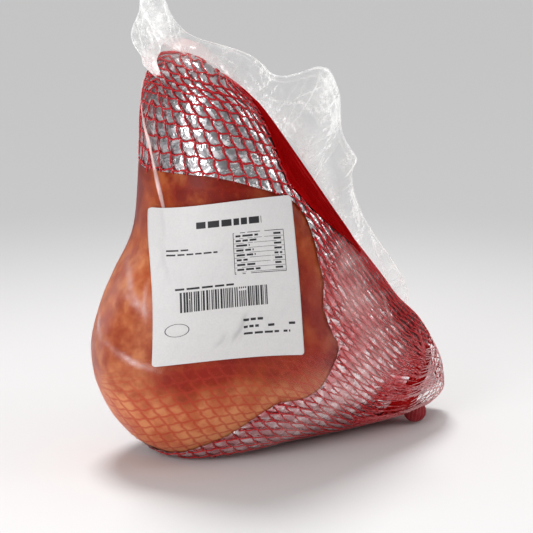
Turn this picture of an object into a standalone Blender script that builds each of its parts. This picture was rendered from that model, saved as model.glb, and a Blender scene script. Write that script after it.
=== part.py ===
"""A whole ham in foil and a knitted net, sealed in a clear film bag, with a paper label on its front.

The ham stands on its heel, with the shank's top up. +X runs along its broad side to the tied end of the
net, -Y is the side with the label, and +Z is up. The origin is on the small flat spot that the ham stands
on. The bag is sealed, so the bag and all that it holds are one solid, out to the film. The label is a sheet
of its own on the film.
"""

import math

import bmesh
import bpy
import numpy as np
from mathutils import Vector
from mathutils.bvhtree import BVHTree

MM = 0.001

# The ham is a tube of slanted rings, from the top of the shank round the heel to the tied end of the net.
# Each station is one ring, in millimetres: its outer point (X, Z), its inner point (X, Z), and half its depth.
# The outer points go down the left side and along the bottom, and the inner ones down the right slope.
STATIONS = (
    (-48, 264, -46, 264, 6),
    (-58, 260, -37, 260, 26),
    (-64, 246, -22, 246, 38),
    (-69, 221, 1, 221, 46),
    (-71, 185, 26, 188, 52),
    (-76, 142, 51, 154, 57),
    (-98, 100, 71, 129, 60),
    (-107, 63, 89, 108, 60),
    (-92, 24, 106, 87, 59),
    (-57, -2.2, 123, 71, 54),
    (4, -1.4, 134, 55, 46),
    (59, -0.3, 141, 41, 37),
    (106, 3, 144, 27, 25),
    (136, 11, 147, 19, 9),
)
RINGS = 52
SEGMENTS = 52
CAP_RISE = 1.5 * MM

# A ring is a superellipse. Above 2 its broad sides are flatter, as where the label lies.
ROUND_POWER = 2.0
FLAT_POWER = 2.3
FLATTEST_RING = 0.42
FLAT_REACH = 0.3

# The loose film stands out from the ham as a web of two layers in the plane of the broad side.
# Each rib runs from a point on its rim (X, Z) to a root inside the ham (X, Z), in millimetres. They go up
# the left, over the torn tip, along the sagging lip to the right corner, and down the right edge.
WEB_RIBS = (
    (-62, 239.5, -54, 232),
    (-72, 248.5, -57, 238),
    (-75, 254.5, -59, 242),
    (-80, 261.5, -60, 245),
    (-81, 267.5, -61, 247),
    (-78, 273.5, -61, 248.5),
    (-74, 279.5, -60, 249.5),
    (-73, 285.5, -59.5, 250),
    (-74, 291.5, -59, 250.5),
    (-70, 298.5, -58, 251),
    (-62, 293.5, -56.5, 251),
    (-57, 285.5, -55, 251),
    (-52, 277.5, -52.5, 251),
    (-44, 268.5, -48, 250.5),
    (-36, 263.5, -42, 249.5),
    (-24, 259.5, -33, 246),
    (-12, 255.5, -24, 239),
    (0, 250.5, -13, 228),
    (9, 244.5, -5, 216),
    (18, 237.5, 2, 206),
    (28, 235.5, 9, 197),
    (38, 237.5, 16, 189),
    (48, 240.5, 22, 182),
    (55, 238.5, 28, 176),
    (61, 229.5, 33, 170),
    (66, 218.5, 38, 164),
    (68, 207.5, 42, 159),
    (69, 196.5, 46, 154),
    (74, 185.5, 50, 149),
    (77, 178.5, 53, 145),
    (73, 170.5, 56, 141),
    (75, 159.5, 61, 135),
    (81, 147.5, 67, 127),
    (88, 135.5, 73, 119),
    (96, 123.5, 80, 110),
    (106, 108.5, 88, 99),
    (114, 94.5, 96, 88),
    (118, 79.5, 101, 76),
)
WEB_SAMPLES = 76
WEB_STEPS = 6
WEB_ROOT_HALF = 8 * MM
WEB_RIM_HALF = 0.9 * MM
WEB_WAVE = 3.5 * MM
WEB_WAVES = 5.5

# The tied end of the net makes a small bulb below the right end.
BULB_CENTRE = (122 * MM, -13 * MM, 8 * MM)
BULB_RADII = (7.5 * MM, 7 * MM, 8 * MM)

# The label is a square of paper, about 97 mm a side. Seen along its own direction, turned by LABEL_TURN from
# +Y, its corners lie at these places, across and up: the top two and the bottom two, left before right.
LABEL_TURN = math.radians(16)
LABEL_TOP = ((-68.2 * MM, 161.8 * MM), (14.8 * MM, 170.7 * MM))
LABEL_BOTTOM = ((-73.4 * MM, 70.6 * MM), (22.6 * MM, 70.8 * MM))
LABEL_CORNER = 0.07
LABEL_CORNER_STEPS = 3
LABEL_CELLS = 14
# Cells are narrow at the left, where the sheet bends round the heel: this share of an even cell.
LABEL_LEFT_CELL = 0.5
LABEL_GAP = 0.8 * MM
LABEL_THICKNESS = 0.5 * MM
LEAST_FACING = 0.4
CAST_FROM = 200 * MM


def smooth_curve(points, places):
    """The Catmull-Rom spline through points, at places from 0 to 1, each stretch being as long as the others."""
    points = np.asarray(points, float)
    ends = np.vstack([2 * points[0] - points[1], points, 2 * points[-1] - points[-2]])
    last = len(points) - 1
    along = np.clip(np.asarray(places, float), 0, 1) * last
    first = np.clip(np.floor(along).astype(int), 0, last - 1)
    t = (along - first)[..., None]
    a, b, c, d = (ends[first + k] for k in range(4))
    return 0.5 * (
        2 * b
        + (c - a) * t
        + (2 * a - 5 * b + 4 * c - d) * t**2
        + (3 * b - a - 3 * c + d) * t**3
    )


def ham_surface(places, angles):
    """Points of the ham at places from its top to its tied end and angles round it, kept above the floor.

    Each ring is a superellipse between its outer and inner points. Its sides are flattest at the label.
    """
    stations = smooth_curve(STATIONS, places) * MM
    outer, inner, half_depth = stations[..., 0:2], stations[..., 2:4], stations[..., 4]
    away = (places - FLATTEST_RING) / FLAT_REACH
    share = 2 / (ROUND_POWER + (FLAT_POWER - ROUND_POWER) * np.exp(-(away**2)))
    along = np.sign(np.cos(angles)) * np.abs(np.cos(angles)) ** share
    across = np.sign(np.sin(angles)) * np.abs(np.sin(angles)) ** share
    middle = (outer + inner) / 2 + (inner - outer) / 2 * along[..., None]
    return np.stack([middle[..., 0], half_depth * across, np.maximum(middle[..., 1], 0)], axis=-1)


def close_end(bm, loop, push, flip):
    """Closes a ring with a fan to a middle point, pushed out a little so that the end is round."""
    middle = sum((v.co for v in loop), Vector()) / len(loop)
    point = bm.verts.new(middle + Vector(push))
    for k, vertex in enumerate(loop):
        after = loop[(k + 1) % len(loop)]
        bm.faces.new((after, vertex, point) if flip else (vertex, after, point))


def ham_body():
    """The ham as wrapped: rings bridged from the shank's top to the net's tied end, with a flat spot below."""
    places = np.linspace(0, 1, RINGS)
    angles = np.linspace(0, 2 * math.pi, SEGMENTS, endpoint=False)
    points = ham_surface(*np.meshgrid(places, angles, indexing="ij"))
    bm = bmesh.new()
    loops = [[bm.verts.new(point) for point in loop] for loop in points]
    for low, high in zip(loops, loops[1:]):
        for k in range(SEGMENTS):
            after = (k + 1) % SEGMENTS
            bm.faces.new((low[k], low[after], high[after], high[k]))
    close_end(bm, loops[0], (0, 0, CAP_RISE), flip=False)
    close_end(bm, loops[-1], (CAP_RISE, 0, 0), flip=True)
    bmesh.ops.recalc_face_normals(bm, faces=bm.faces)
    return bm


def film_web():
    """The loose film: two layers that leave the ham wide apart and meet at the rim, in slow waves."""
    along = np.linspace(0, 1, WEB_SAMPLES)
    ribs = smooth_curve(WEB_RIBS, along) * MM
    rim, root = ribs[:, 0:2], ribs[:, 2:4]
    bm = bmesh.new()
    sides = {}
    for side in (-1, 1):
        for i in range(WEB_SAMPLES):
            ends = math.sin(math.pi * along[i]) ** 0.5
            for j in range(WEB_STEPS + 1):
                out = j / WEB_STEPS
                x, z = root[i] + (rim[i] - root[i]) * out
                half = WEB_RIM_HALF + (WEB_ROOT_HALF - WEB_RIM_HALF) * ends * (1 - out) ** 2
                wave = WEB_WAVE * out * math.sin(2 * math.pi * WEB_WAVES * along[i] + 2 * out)
                sides[side, i, j] = bm.verts.new((x, side * half + wave, z))
    for i in range(WEB_SAMPLES - 1):
        for j in range(WEB_STEPS):
            for side in (-1, 1):
                corners = [sides[side, i + a, j + b] for a, b in ((0, 0), (1, 0), (1, 1), (0, 1))]
                bm.faces.new(corners if side < 0 else corners[::-1])
        for j in (0, WEB_STEPS):
            bm.faces.new([sides[s, i + a, j] for s, a in ((-1, 0), (-1, 1), (1, 1), (1, 0))])
    for i in (0, WEB_SAMPLES - 1):
        for j in range(WEB_STEPS):
            bm.faces.new([sides[s, i, j + b] for s, b in ((-1, 0), (-1, 1), (1, 1), (1, 0))])
    bmesh.ops.triangulate(bm, faces=bm.faces)
    bmesh.ops.recalc_face_normals(bm, faces=bm.faces)
    return bm


def tied_bulb():
    """The small bulb where the net is tied, an egg sunk into the ham's right end."""
    bm = bmesh.new()
    bmesh.ops.create_icosphere(bm, subdivisions=3, radius=1)
    for vertex in bm.verts:
        vertex.co = Vector(c + r * v for c, r, v in zip(BULB_CENTRE, BULB_RADII, vertex.co))
        vertex.co.z = max(vertex.co.z, 0.7 * MM)
    bmesh.ops.recalc_face_normals(bm, faces=bm.faces)
    return bm


def add_object(name, bm, material=None):
    """Links a new object made from bm."""
    mesh = bpy.data.meshes.new(name)
    bm.to_mesh(mesh)
    bm.free()
    obj = bpy.data.objects.new(name, mesh)
    bpy.context.scene.collection.objects.link(obj)
    if material:
        mesh.materials.append(material)
    return obj


def add_helper(name, bm):
    """Links an object that only joins another through a Boolean."""
    obj = add_object(name, bm)
    obj.hide_render = True
    obj.display_type = "WIRE"
    return obj


def join_to(obj, helper):
    """Adds a Boolean union with helper to obj."""
    union = obj.modifiers.new("join " + helper.name, "BOOLEAN")
    union.operation = "UNION"
    union.solver = "EXACT"
    union.object = helper


def make_material(name, colour, roughness):
    """A Principled material with this colour and roughness."""
    material = bpy.data.materials.new(name)
    material.use_nodes = True
    shader = material.node_tree.nodes["Principled BSDF"]
    shader.inputs["Base Color"].default_value = (*colour, 1)
    shader.inputs["Roughness"].default_value = roughness
    return material


def label_rows():
    """The rows of the label's grid from top (-1) to bottom (1): even, and closer round the corners."""
    straight = 1 - LABEL_CORNER
    steps = np.arange(1, LABEL_CORNER_STEPS + 1) / LABEL_CORNER_STEPS
    corner = straight + LABEL_CORNER * np.sin(steps * math.pi / 2)
    return np.concatenate([-corner[::-1], np.linspace(-straight, straight, LABEL_CELLS + 1), corner])


def label_point(tree, down, across, into):
    """The point of the film below the label at shares down and across it, and the step to lift it by 1 there."""
    top, bottom = (
        Vector(left).lerp(Vector(right), across) for left, right in (LABEL_TOP, LABEL_BOTTOM)
    )
    aside, up = top.lerp(bottom, down)
    start = Vector((into.y, -into.x, 0)) * aside + Vector((0, 0, up)) - into * CAST_FROM
    hit, normal = tree.ray_cast(start, into)[:2]
    return hit, -into / max(-normal.dot(into), LEAST_FACING)


def paper_label(ham):
    """The label: a thin sheet bent over the ham's front, a small gap clear of the film."""
    tree = BVHTree.FromBMesh(ham)
    into = Vector((math.sin(LABEL_TURN), math.cos(LABEL_TURN), 0))
    rows = label_rows()
    even = np.linspace(0, 1, LABEL_CELLS + 1)
    columns = LABEL_LEFT_CELL * even + (1 - LABEL_LEFT_CELL) * even**2
    bm = bmesh.new()
    lower, upper = [], []
    for row in rows:
        into_corner = max(abs(row) - (1 - LABEL_CORNER), 0)
        half = 1 - LABEL_CORNER + math.sqrt(max(LABEL_CORNER**2 - into_corner**2, 0))
        spots = [
            label_point(tree, (1 + row) / 2, (1 + half * (2 * c - 1)) / 2, into) for c in columns
        ]
        lower.append([bm.verts.new(hit + lift * LABEL_GAP) for hit, lift in spots])
        upper.append([bm.verts.new(hit + lift * (LABEL_GAP + LABEL_THICKNESS)) for hit, lift in spots])
    last_row, last_column = len(rows) - 1, LABEL_CELLS
    for i in range(last_row):
        for j in range(last_column):
            for sheet in (lower, upper):
                bm.faces.new((sheet[i][j], sheet[i + 1][j], sheet[i + 1][j + 1], sheet[i][j + 1]))
        for j in (0, last_column):
            bm.faces.new((lower[i][j], lower[i + 1][j], upper[i + 1][j], upper[i][j]))
    for i in (0, last_row):
        for j in range(last_column):
            bm.faces.new((lower[i][j], lower[i][j + 1], upper[i][j + 1], upper[i][j]))
    bmesh.ops.triangulate(bm, faces=bm.faces)
    bmesh.ops.recalc_face_normals(bm, faces=bm.faces)
    return bm


def main():
    """Builds the sealed bag with what it holds, and the label on it."""
    for obj in list(bpy.data.objects):
        bpy.data.objects.remove(obj, do_unlink=True)
    film = make_material("film over net and ham", (0.62, 0.17, 0.12), 0.25)
    paper = make_material("label paper", (0.88, 0.87, 0.87), 0.6)
    ham = ham_body()
    label_sheet = paper_label(ham)
    bag = add_object("bag", ham, film)
    join_to(bag, add_helper("web helper", film_web()))
    join_to(bag, add_helper("bulb helper", tied_bulb()))
    add_object("label", label_sheet, paper)


main()
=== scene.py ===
"""Looks of a packed ham: the skin, the foil, the knitted net, the film bag and the paper label.

Every layer is the ham's own surface, lifted along its normal. The surface is a function of two parameters,
the place along the ham from the shank's top (0) to the tied end (1), and the angle round it, where -pi/2 is
the middle of the front, 0 the ridge of the right slope and pi the left side.
"""

import logging
import math
from dataclasses import dataclass
from enum import Enum

import bpy
import numpy as np
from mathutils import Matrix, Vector


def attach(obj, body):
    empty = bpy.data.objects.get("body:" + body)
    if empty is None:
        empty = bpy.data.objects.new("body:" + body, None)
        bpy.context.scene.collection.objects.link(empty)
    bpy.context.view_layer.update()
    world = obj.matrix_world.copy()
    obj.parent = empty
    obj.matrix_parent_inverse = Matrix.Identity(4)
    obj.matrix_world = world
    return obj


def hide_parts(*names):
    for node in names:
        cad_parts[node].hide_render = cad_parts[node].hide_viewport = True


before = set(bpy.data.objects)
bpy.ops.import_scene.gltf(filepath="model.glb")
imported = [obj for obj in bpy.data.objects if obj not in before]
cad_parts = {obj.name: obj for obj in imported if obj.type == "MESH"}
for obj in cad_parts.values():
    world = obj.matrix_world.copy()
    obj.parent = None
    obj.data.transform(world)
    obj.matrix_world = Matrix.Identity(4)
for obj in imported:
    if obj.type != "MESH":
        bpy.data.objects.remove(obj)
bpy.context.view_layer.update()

MM = 0.001
PLACE_MM = 420.0  # about the length of the ham's surface from place 0 to place 1
ANGLE_MM = 58.0  # about the length of one radian round it
FULL_TURN = 2 * math.pi
LOG = logging.getLogger("packed_ham")
Array = np.ndarray
Rows = tuple[tuple[float, ...], ...]
Socket = bpy.types.NodeSocket
Given = bpy.types.NodeSocket | float | tuple
Strands = tuple[np.ndarray, np.ndarray, np.ndarray]


class Slot(Enum):
    """The record's material slots."""

    BAG = "film_over_net"
    LABEL = "label_paper"


class Lift(Enum):
    """How far each layer stands out from the bag's outer surface, in millimetres. Below it is negative."""

    SKIN = -2.3
    FOIL = -1.9
    NET = -1.0
    FILM = -0.12
    LABEL = 0.85
    PRINT = 0.89


# ---- shapes in numpy


def smooth_curve(points: Array, places: Array) -> Array:
    """The Catmull-Rom spline through points, each stretch taking the same share of the way.

    Args:
        points: One row for each point, with any number of columns.
        places: Where to read the curve, from 0 to 1.

    Returns:
        The curve's rows at places.
    """
    points = np.asarray(points, float)
    ends = np.vstack([2 * points[0] - points[1], points, 2 * points[-1] - points[-2]])
    last = len(points) - 1
    along = np.clip(np.asarray(places, float), 0, 1) * last
    first = np.clip(np.floor(along).astype(int), 0, last - 1)
    t = (along - first)[..., None]
    a, b, c, d = (ends[first + k] for k in range(4))
    return 0.5 * (
        2 * b + (c - a) * t + (2 * a - 5 * b + 4 * c - d) * t**2 + (3 * b - a - 3 * c + d) * t**3
    )


def ramp(value: Array, low: float, high: float) -> Array:
    """Goes from 0 at low to 1 at high, level at both ends: 3q^2 - 2q^3."""
    q = np.clip((np.asarray(value, float) - low) / (high - low), 0, 1)
    return q * q * (3 - 2 * q)


def bell(value: Array, middle: float, width: float) -> Array:
    """Goes from 0 up to 1 at the middle and down again, e^(-((v - middle) / width)^2)."""
    return np.exp(-(((value - middle) / width) ** 2))


def wrapped(angle: Array) -> Array:
    """The same angles between -pi and pi: the ridge is 0, the front is negative and the back positive."""
    return np.mod(angle + math.pi, FULL_TURN) - math.pi


def past_left(angle: Array, limit: float = 0.6) -> Array:
    """The same angles counted on below -pi round the left side: those above the limit lose a full turn."""
    return np.where(angle > limit, angle - FULL_TURN, angle)


def ring_grid(rows: int, columns: int) -> tuple[Array, Array]:
    """A grid of places from 0 to 1 down the rows, and one of angles once round along the columns."""
    turn = np.linspace(-math.pi, math.pi, columns, endpoint=False)
    return np.meshgrid(np.linspace(0, 1, rows), turn, indexing="ij")


def soft_spots(place: Array, angle: Array, rows: Rows) -> Array:
    """A sum of soft round patches, each a * e^(-((u - u0) / wide)^2 - ((t - t0) / tall)^2).

    Args:
        place: Places on the surface, u.
        angle: Angles there, t.
        rows: The u0, t0, wide, tall and a of each patch.

    Returns:
        The sum at each point.
    """
    total = np.zeros(np.shape(place))
    for u, t, wide, tall, amount in rows:
        total += amount * bell(place, u, wide) * bell(angle, t, tall)
    return total


def unit(vectors: Array) -> Array:
    """The same directions with length 1."""
    return vectors / np.maximum(np.linalg.norm(vectors, axis=-1, keepdims=True), 1e-12)


def creases(points: Array, size: float, seed: int) -> Array:
    """Crumpled relief from -1 to 1: the mean of folded plane waves |sin|, which meet in sharp creases.

    Args:
        points: Places in metres, in the last axis.
        size: The distance from crease to crease, in metres.
        seed: Which set of directions and starts to take.

    Returns:
        The relief at each point.
    """
    rng, waves = np.random.default_rng(seed), 9
    middle, gain = 0.637, 3.2
    total = np.zeros(points.shape[:-1])
    for _ in range(waves):
        way = unit(rng.normal(size=3)) * math.pi / (size * rng.uniform(0.7, 1.5))
        bend = unit(rng.normal(size=3)) * math.pi / (size * 3.1)
        total += np.abs(np.sin(points @ way + 1.3 * np.sin(points @ bend) + rng.uniform(0, 6.28)))
    return (total / waves - middle) * gain


def swells(points: Array, size: float, seed: int) -> Array:
    """Soft relief from about -1 to 1: the mean of plain plane waves of about this size, in metres."""
    rng, waves, gain = np.random.default_rng(seed), 8, 1.8
    total = np.zeros(points.shape[:-1])
    for _ in range(waves):
        way = unit(rng.normal(size=3)) * math.pi / (size * rng.uniform(0.7, 1.4))
        total += np.sin(points @ way + rng.uniform(0, 6.28))
    return total / waves * gain


def hairlines(points: Array, size: float, seed: int, thin: float) -> Array:
    """Thin lines from 0 to 1, e^(-|sin|/thin) of bent plane waves, each shown on some patches only.

    Args:
        points: Places in metres, in the last axis.
        size: The distance from line to line of one wave, in metres.
        seed: Which set of directions and starts to take.
        thin: The lines' width as a share of their distance.

    Returns:
        The lines' strength at each point.
    """
    rng, waves = np.random.default_rng(seed), 6
    total = np.zeros(points.shape[:-1])
    for _ in range(waves):
        way = unit(rng.normal(size=3) * (1, 0.1, 1)) * math.pi / (size * rng.uniform(0.7, 1.6))
        bend = unit(rng.normal(size=3)) * math.pi / (size * 2.3)
        phase = points @ way + 1.1 * np.sin(points @ bend) + rng.uniform(0, 6.28)
        patch = ramp(np.sin(points @ np.roll(bend, 1) * 1.7 + rng.uniform(0, 6.28)), -0.1, 0.8)
        total = np.maximum(total, patch * np.exp(-np.abs(np.sin(phase)) / thin))
    return total


def add_mesh(
    name: str, points: Array, faces: Array | list, fields: dict[str, Array] | None = None,
    uvs: dict[str, Array] | None = None,
) -> bpy.types.Object:
    """Makes an object at the origin from arrays, with smooth shading.

    Args:
        name: The piece's name.
        points: Vertices in metres, one row each.
        faces: Rows of vertex numbers.
        fields: Numbers by name, one for each vertex, which materials read as attributes.
        uvs: UV maps by name, one row for each vertex.

    Returns:
        The linked object.
    """
    mesh = bpy.data.meshes.new(name)
    mesh.from_pydata(np.asarray(points).tolist(), [], [list(map(int, f)) for f in faces])
    corners = np.empty(len(mesh.loops), int)
    mesh.loops.foreach_get("vertex_index", corners)
    for title, rows in (uvs or {}).items():
        layer = mesh.uv_layers.new(name=title)
        layer.data.foreach_set("uv", np.asarray(rows, float)[corners].ravel())
    for title, values in (fields or {}).items():
        layer = mesh.attributes.new(title, "FLOAT", "POINT")
        layer.data.foreach_set("value", np.asarray(values, float).ravel())
    mesh.polygons.foreach_set("use_smooth", np.full(len(mesh.polygons), True))
    mesh.update()
    piece = bpy.data.objects.new(name, mesh)
    bpy.context.scene.collection.objects.link(piece)
    return piece


def grid_faces(rows: int, columns: int, wrap: bool = False, start: int = 0) -> Array:
    """Quads of a grid of rows by columns of vertices, facing along d(row) x d(column).

    Args:
        rows: How many rows of vertices there are.
        columns: How many vertices are in a row.
        wrap: Whether the last column joins the first.
        start: The number of the grid's first vertex.

    Returns:
        One row of four vertex numbers for each quad.
    """
    number = start + np.arange(rows * columns).reshape(rows, columns)
    after = np.roll(number, -1, axis=1) if wrap else number[:, 1:]
    here = number if wrap else number[:, :-1]
    return np.stack([here[:-1], here[1:], after[1:], after[:-1]], axis=-1).reshape(-1, 4)


def copies(faces: Array, count: int, size: int) -> Array:
    """The faces of this many pieces that are alike, each with its own vertices, size of them."""
    return (np.arange(count)[:, None, None] * size + faces).reshape(-1, 4)


def once_round(count: int) -> Array:
    """The angles of this many equal steps once round."""
    return np.arange(count) * FULL_TURN / count


def spokes(first: Array, second: Array, turn: Array) -> Array:
    """Vectors turned by these angles from the first towards the second, which is square to it."""
    return first[..., None, :] * np.cos(turn)[:, None] + second[..., None, :] * np.sin(turn)[:, None]


def close_ends(points: Array, faces: Array, columns: int) -> tuple[Array, list]:
    """Closes both ends of a tube: a middle point to each end ring, and a fan of triangles to it."""
    count = len(points)
    ring = np.arange(columns)
    after, end = np.roll(ring, -1), count - columns
    top = np.stack([np.full(columns, count), ring, after], -1)
    bottom = np.stack([np.full(columns, count + 1), end + after, end + ring], -1)
    ends = points[:columns].mean(0), points[end:].mean(0)
    return np.vstack([points, *ends]), list(faces) + list(top) + list(bottom)


def with_pole_values(fields: dict[str, Array]) -> dict[str, Array]:
    """Maps of a tube's grid, with a 0 for the middle point of each end."""
    return {name: np.pad(values.ravel(), ((0, 2),)) for name, values in fields.items()}


def add_wall(piece: bpy.types.Object, thickness: float) -> bpy.types.Object:
    """Gives a sheet a back, this many millimetres behind it."""
    wall = piece.modifiers.new("wall", "SOLIDIFY")
    wall.thickness = thickness * MM
    wall.offset = -1
    return piece


@dataclass(frozen=True)
class HamForm:
    """The ham as wrapped: a tube of slanted superellipses between outer and inner points.

    Each station holds the outer point (X, Z), the inner point (X, Z) and half the depth, in millimetres.
    """

    stations: Rows = (
        (-48, 264, -46, 264, 6),
        (-58, 260, -37, 260, 26),
        (-64, 246, -22, 246, 38),
        (-69, 221, 1, 221, 46),
        (-71, 185, 26, 188, 52),
        (-76, 142, 51, 154, 57),
        (-98, 100, 71, 129, 60),
        (-107, 63, 89, 108, 60),
        (-92, 24, 106, 87, 59),
        (-57, -2.2, 123, 71, 54),
        (4, -1.4, 134, 55, 46),
        (59, -0.3, 141, 41, 37),
        (106, 3, 144, 27, 25),
        (136, 11, 147, 19, 9),
    )
    round_power: float = 2.0
    flat_power: float = 2.3
    flattest: float = 0.42
    reach: float = 0.3
    top_gap: float = 8.0
    top_reach: tuple[float, float] = (222.0, 264.0)

    def point(self, place: Array, angle: Array) -> Array:
        """Points of the outer surface: centre + half * cos^(2/p) in X and Z, and depth * sin^(2/p) in Y.

        Args:
            place: Places along the ham, from 0 to 1.
            angle: Angles round it.

        Returns:
            Points in metres, kept above the floor.
        """
        rows = smooth_curve(self.stations, place) * MM
        outer, inner, depth = rows[..., 0:2], rows[..., 2:4], rows[..., 4]
        bulge = bell(place, self.flattest, self.reach)
        share = 2 / (self.round_power + (self.flat_power - self.round_power) * bulge)
        along = np.sign(np.cos(angle)) * np.abs(np.cos(angle)) ** share
        across = np.sign(np.sin(angle)) * np.abs(np.sin(angle)) ** share
        middle = (outer + inner) / 2 + (inner - outer) / 2 * along[..., None]
        return np.stack([middle[..., 0], depth * across, np.maximum(middle[..., 1], 0)], axis=-1)

    def normal(self, place: Array, angle: Array) -> Array:
        """Outward normals: the cross product of the slopes along the ham and round it."""
        step = 2e-3
        low, high = np.clip(place - step, 0, 1), np.clip(place + step, 0, 1)
        along = self.point(high, angle) - self.point(low, angle)
        around = self.point(place, angle + step) - self.point(place, angle - step)
        return unit(np.cross(along, around))

    def lifted(self, place: Array, angle: Array, lift: Array | float) -> Array:
        """Points of the surface moved along its normal by lift, in millimetres."""
        lift = np.broadcast_to(lift, np.shape(place))[..., None] * MM
        moved = self.point(place, angle) + self.normal(place, angle) * lift
        moved[..., 2] = np.maximum(moved[..., 2], np.maximum(-lift[..., 0], 0) * 0.9)
        return moved

    def inner(self, place: Array, angle: Array, lift: Array | float) -> Array:
        """Points of a layer inside the film, which lies lower at the shank's top: z falls by 8 mm there."""
        points = self.lifted(place, angle, lift)
        points[..., 2] -= self.top_gap * MM * ramp(points[..., 2] / MM, *self.top_reach)
        return points

    def arc(self, place: Array, angle: Array) -> Array:
        """Lengths along each ring from the ridge, angle 0, in millimetres.

        Args:
            place: A grid of places. The first of each row says which ring is measured.
            angle: A grid of angles.

        Returns:
            The length from the ridge to each point.
        """
        cells = 240
        rows = place[:, 0]
        points = self.point(*np.meshgrid(rows, np.linspace(0, math.pi, cells + 1), indexing="ij")) / MM
        steps = np.linalg.norm(np.diff(points, axis=1), axis=-1)
        total = np.concatenate([np.zeros((len(rows), 1)), np.cumsum(steps, axis=1)], axis=1)
        spot = np.abs(wrapped(angle)) / math.pi * cells
        low = np.clip(np.floor(spot).astype(int), 0, cells - 1)
        index = np.arange(len(rows))[:, None]
        share = spot - low
        return total[index, low] * (1 - share) + total[index, low + 1] * share

    def seen_along(
        self, across: Array, up: Array, turn: float, place: Array, angle: Array
    ) -> tuple[Array, Array]:
        """The place and angle that lie behind points of a plane, seen along its normal, by Newton's steps.

        Args:
            across: Where the points lie across the plane, in millimetres.
            up: How high they are, in millimetres.
            turn: The turn of the plane's normal from +Y.
            place: First guesses of the place.
            angle: First guesses of the angle.

        Returns:
            The places and the angles.
        """
        cosine, sine = math.cos(turn), math.sin(turn)

        def flat(u: Array, t: Array) -> Array:
            """Where points of the surface are seen, across and up."""
            point = self.point(u, t) / MM
            return np.stack([point[..., 0] * cosine - point[..., 1] * sine, point[..., 2]], -1)

        def cross(a: Array, b: Array) -> Array:
            """The area between pairs of flat vectors."""
            return a[..., 0] * b[..., 1] - a[..., 1] * b[..., 0]

        goal = np.stack([across, up], -1)
        rounds, step, least = 30, 1e-4, 1e2
        for _ in range(rounds):
            miss = goal - flat(place, angle)
            du = (flat(place + step, angle) - flat(place - step, angle)) / (2 * step)
            dt = (flat(place, angle + step) - flat(place, angle - step)) / (2 * step)
            area = cross(du, dt)
            area = np.where(np.abs(area) < least, np.sign(area + 1e-9) * least, area)
            place = place + np.clip(cross(miss, dt) / area, -0.02, 0.02)
            angle = angle + np.clip(cross(du, miss) / area, -0.1, 0.1)
        return place, angle


HAM = HamForm()


# ---- materials


class NodeSheet:
    """Adds nodes to a tree in short calls."""

    def __init__(self, tree: bpy.types.NodeTree) -> None:
        """Keeps the tree that the nodes go into."""
        self.tree = tree

    def feed(self, node: bpy.types.Node, inputs: dict) -> None:
        """Sets inputs of a node, by name or number, to values or sockets."""
        for key, value in inputs.items():
            if isinstance(value, Socket):
                self.tree.links.new(value, node.inputs[key])
            else:
                node.inputs[key].default_value = value

    def add(self, kind: str, inputs: dict | None = None, **settings) -> bpy.types.Node:
        """Adds a node.

        Args:
            kind: The node's type name without its ShaderNode prefix, or the whole name.
            inputs: Values or sockets by input name or number.
            **settings: The node's own settings.

        Returns:
            The node.
        """
        node = self.tree.nodes.new(kind if kind.startswith("Node") else "ShaderNode" + kind)
        for key, value in settings.items():
            setattr(node, key, value)
        self.feed(node, inputs or {})
        return node

    def math(self, operation: str, a: Given, b: Given = 0.0, clamp: bool = False) -> Socket:
        """The result of one sum on two values or sockets."""
        return self.add("Math", {0: a, 1: b}, operation=operation, use_clamp=clamp).outputs[0]

    def times(self, a: Given, b: Given) -> Socket:
        """The product of two values or sockets."""
        return self.math("MULTIPLY", a, b)

    def blend(self, share: Given, a: Given, b: Given) -> Socket:
        """The colour that goes from a to b as share goes from 0 to 1."""
        return self.add("Mix", {0: share, 6: a, 7: b}, data_type="RGBA").outputs[2]

    def span(self, value: Given, low: float, high: float, first: float = 0.0, last: float = 1.0) -> Socket:
        """Value taken smoothly from low..high to first..last."""
        inputs = {0: value, 1: low, 2: high, 3: first, 4: last}
        return self.add("MapRange", inputs, interpolation_type="SMOOTHSTEP").outputs[0]

    def where(self) -> Socket:
        """Where a point lies on its piece, in metres."""
        return self.add("TexCoord").outputs["Object"]

    def map(self, name: str) -> Socket:
        """One of the mesh's own maps, 0 on a mesh without it."""
        return self.add("Attribute", attribute_name=name).outputs["Fac"]

    def noise(self, where: Given, scale: float, detail: float = 2.0, rough: float = 0.5) -> Socket:
        """A noise pattern of this many features a metre."""
        inputs = {"Vector": where, "Scale": scale, "Detail": detail, "Roughness": rough}
        return self.add("TexNoise", inputs).outputs["Fac"]

    def crinkles(self, where: Given, scale: float) -> Socket:
        """The height of fine crinkles, this many a metre."""
        return self.add("Group", {"Vector": where, "Scale": scale}, node_tree=crinkle_group()).outputs[0]

    def bump(self, height: Given, strength: float, depth: float) -> Socket:
        """The normal of a surface with this relief, depth in metres."""
        inputs = {"Strength": strength, "Distance": depth, "Height": height}
        return self.add("Bump", inputs).outputs[0]


def colour(red: float, green: float, blue: float) -> tuple[float, float, float, float]:
    """A colour as it looks on a screen, from 0 to 255, as linear light."""
    parts = [v / 255 for v in (red, green, blue)]
    return (*(v / 12.92 if v <= 0.04045 else ((v + 0.055) / 1.055) ** 2.4 for v in parts), 1.0)


def dimmed(tint: tuple, share: float) -> tuple[float, float, float, float]:
    """A linear colour with this share of its light."""
    return (*(v * share for v in tint[:3]), 1.0)


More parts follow.
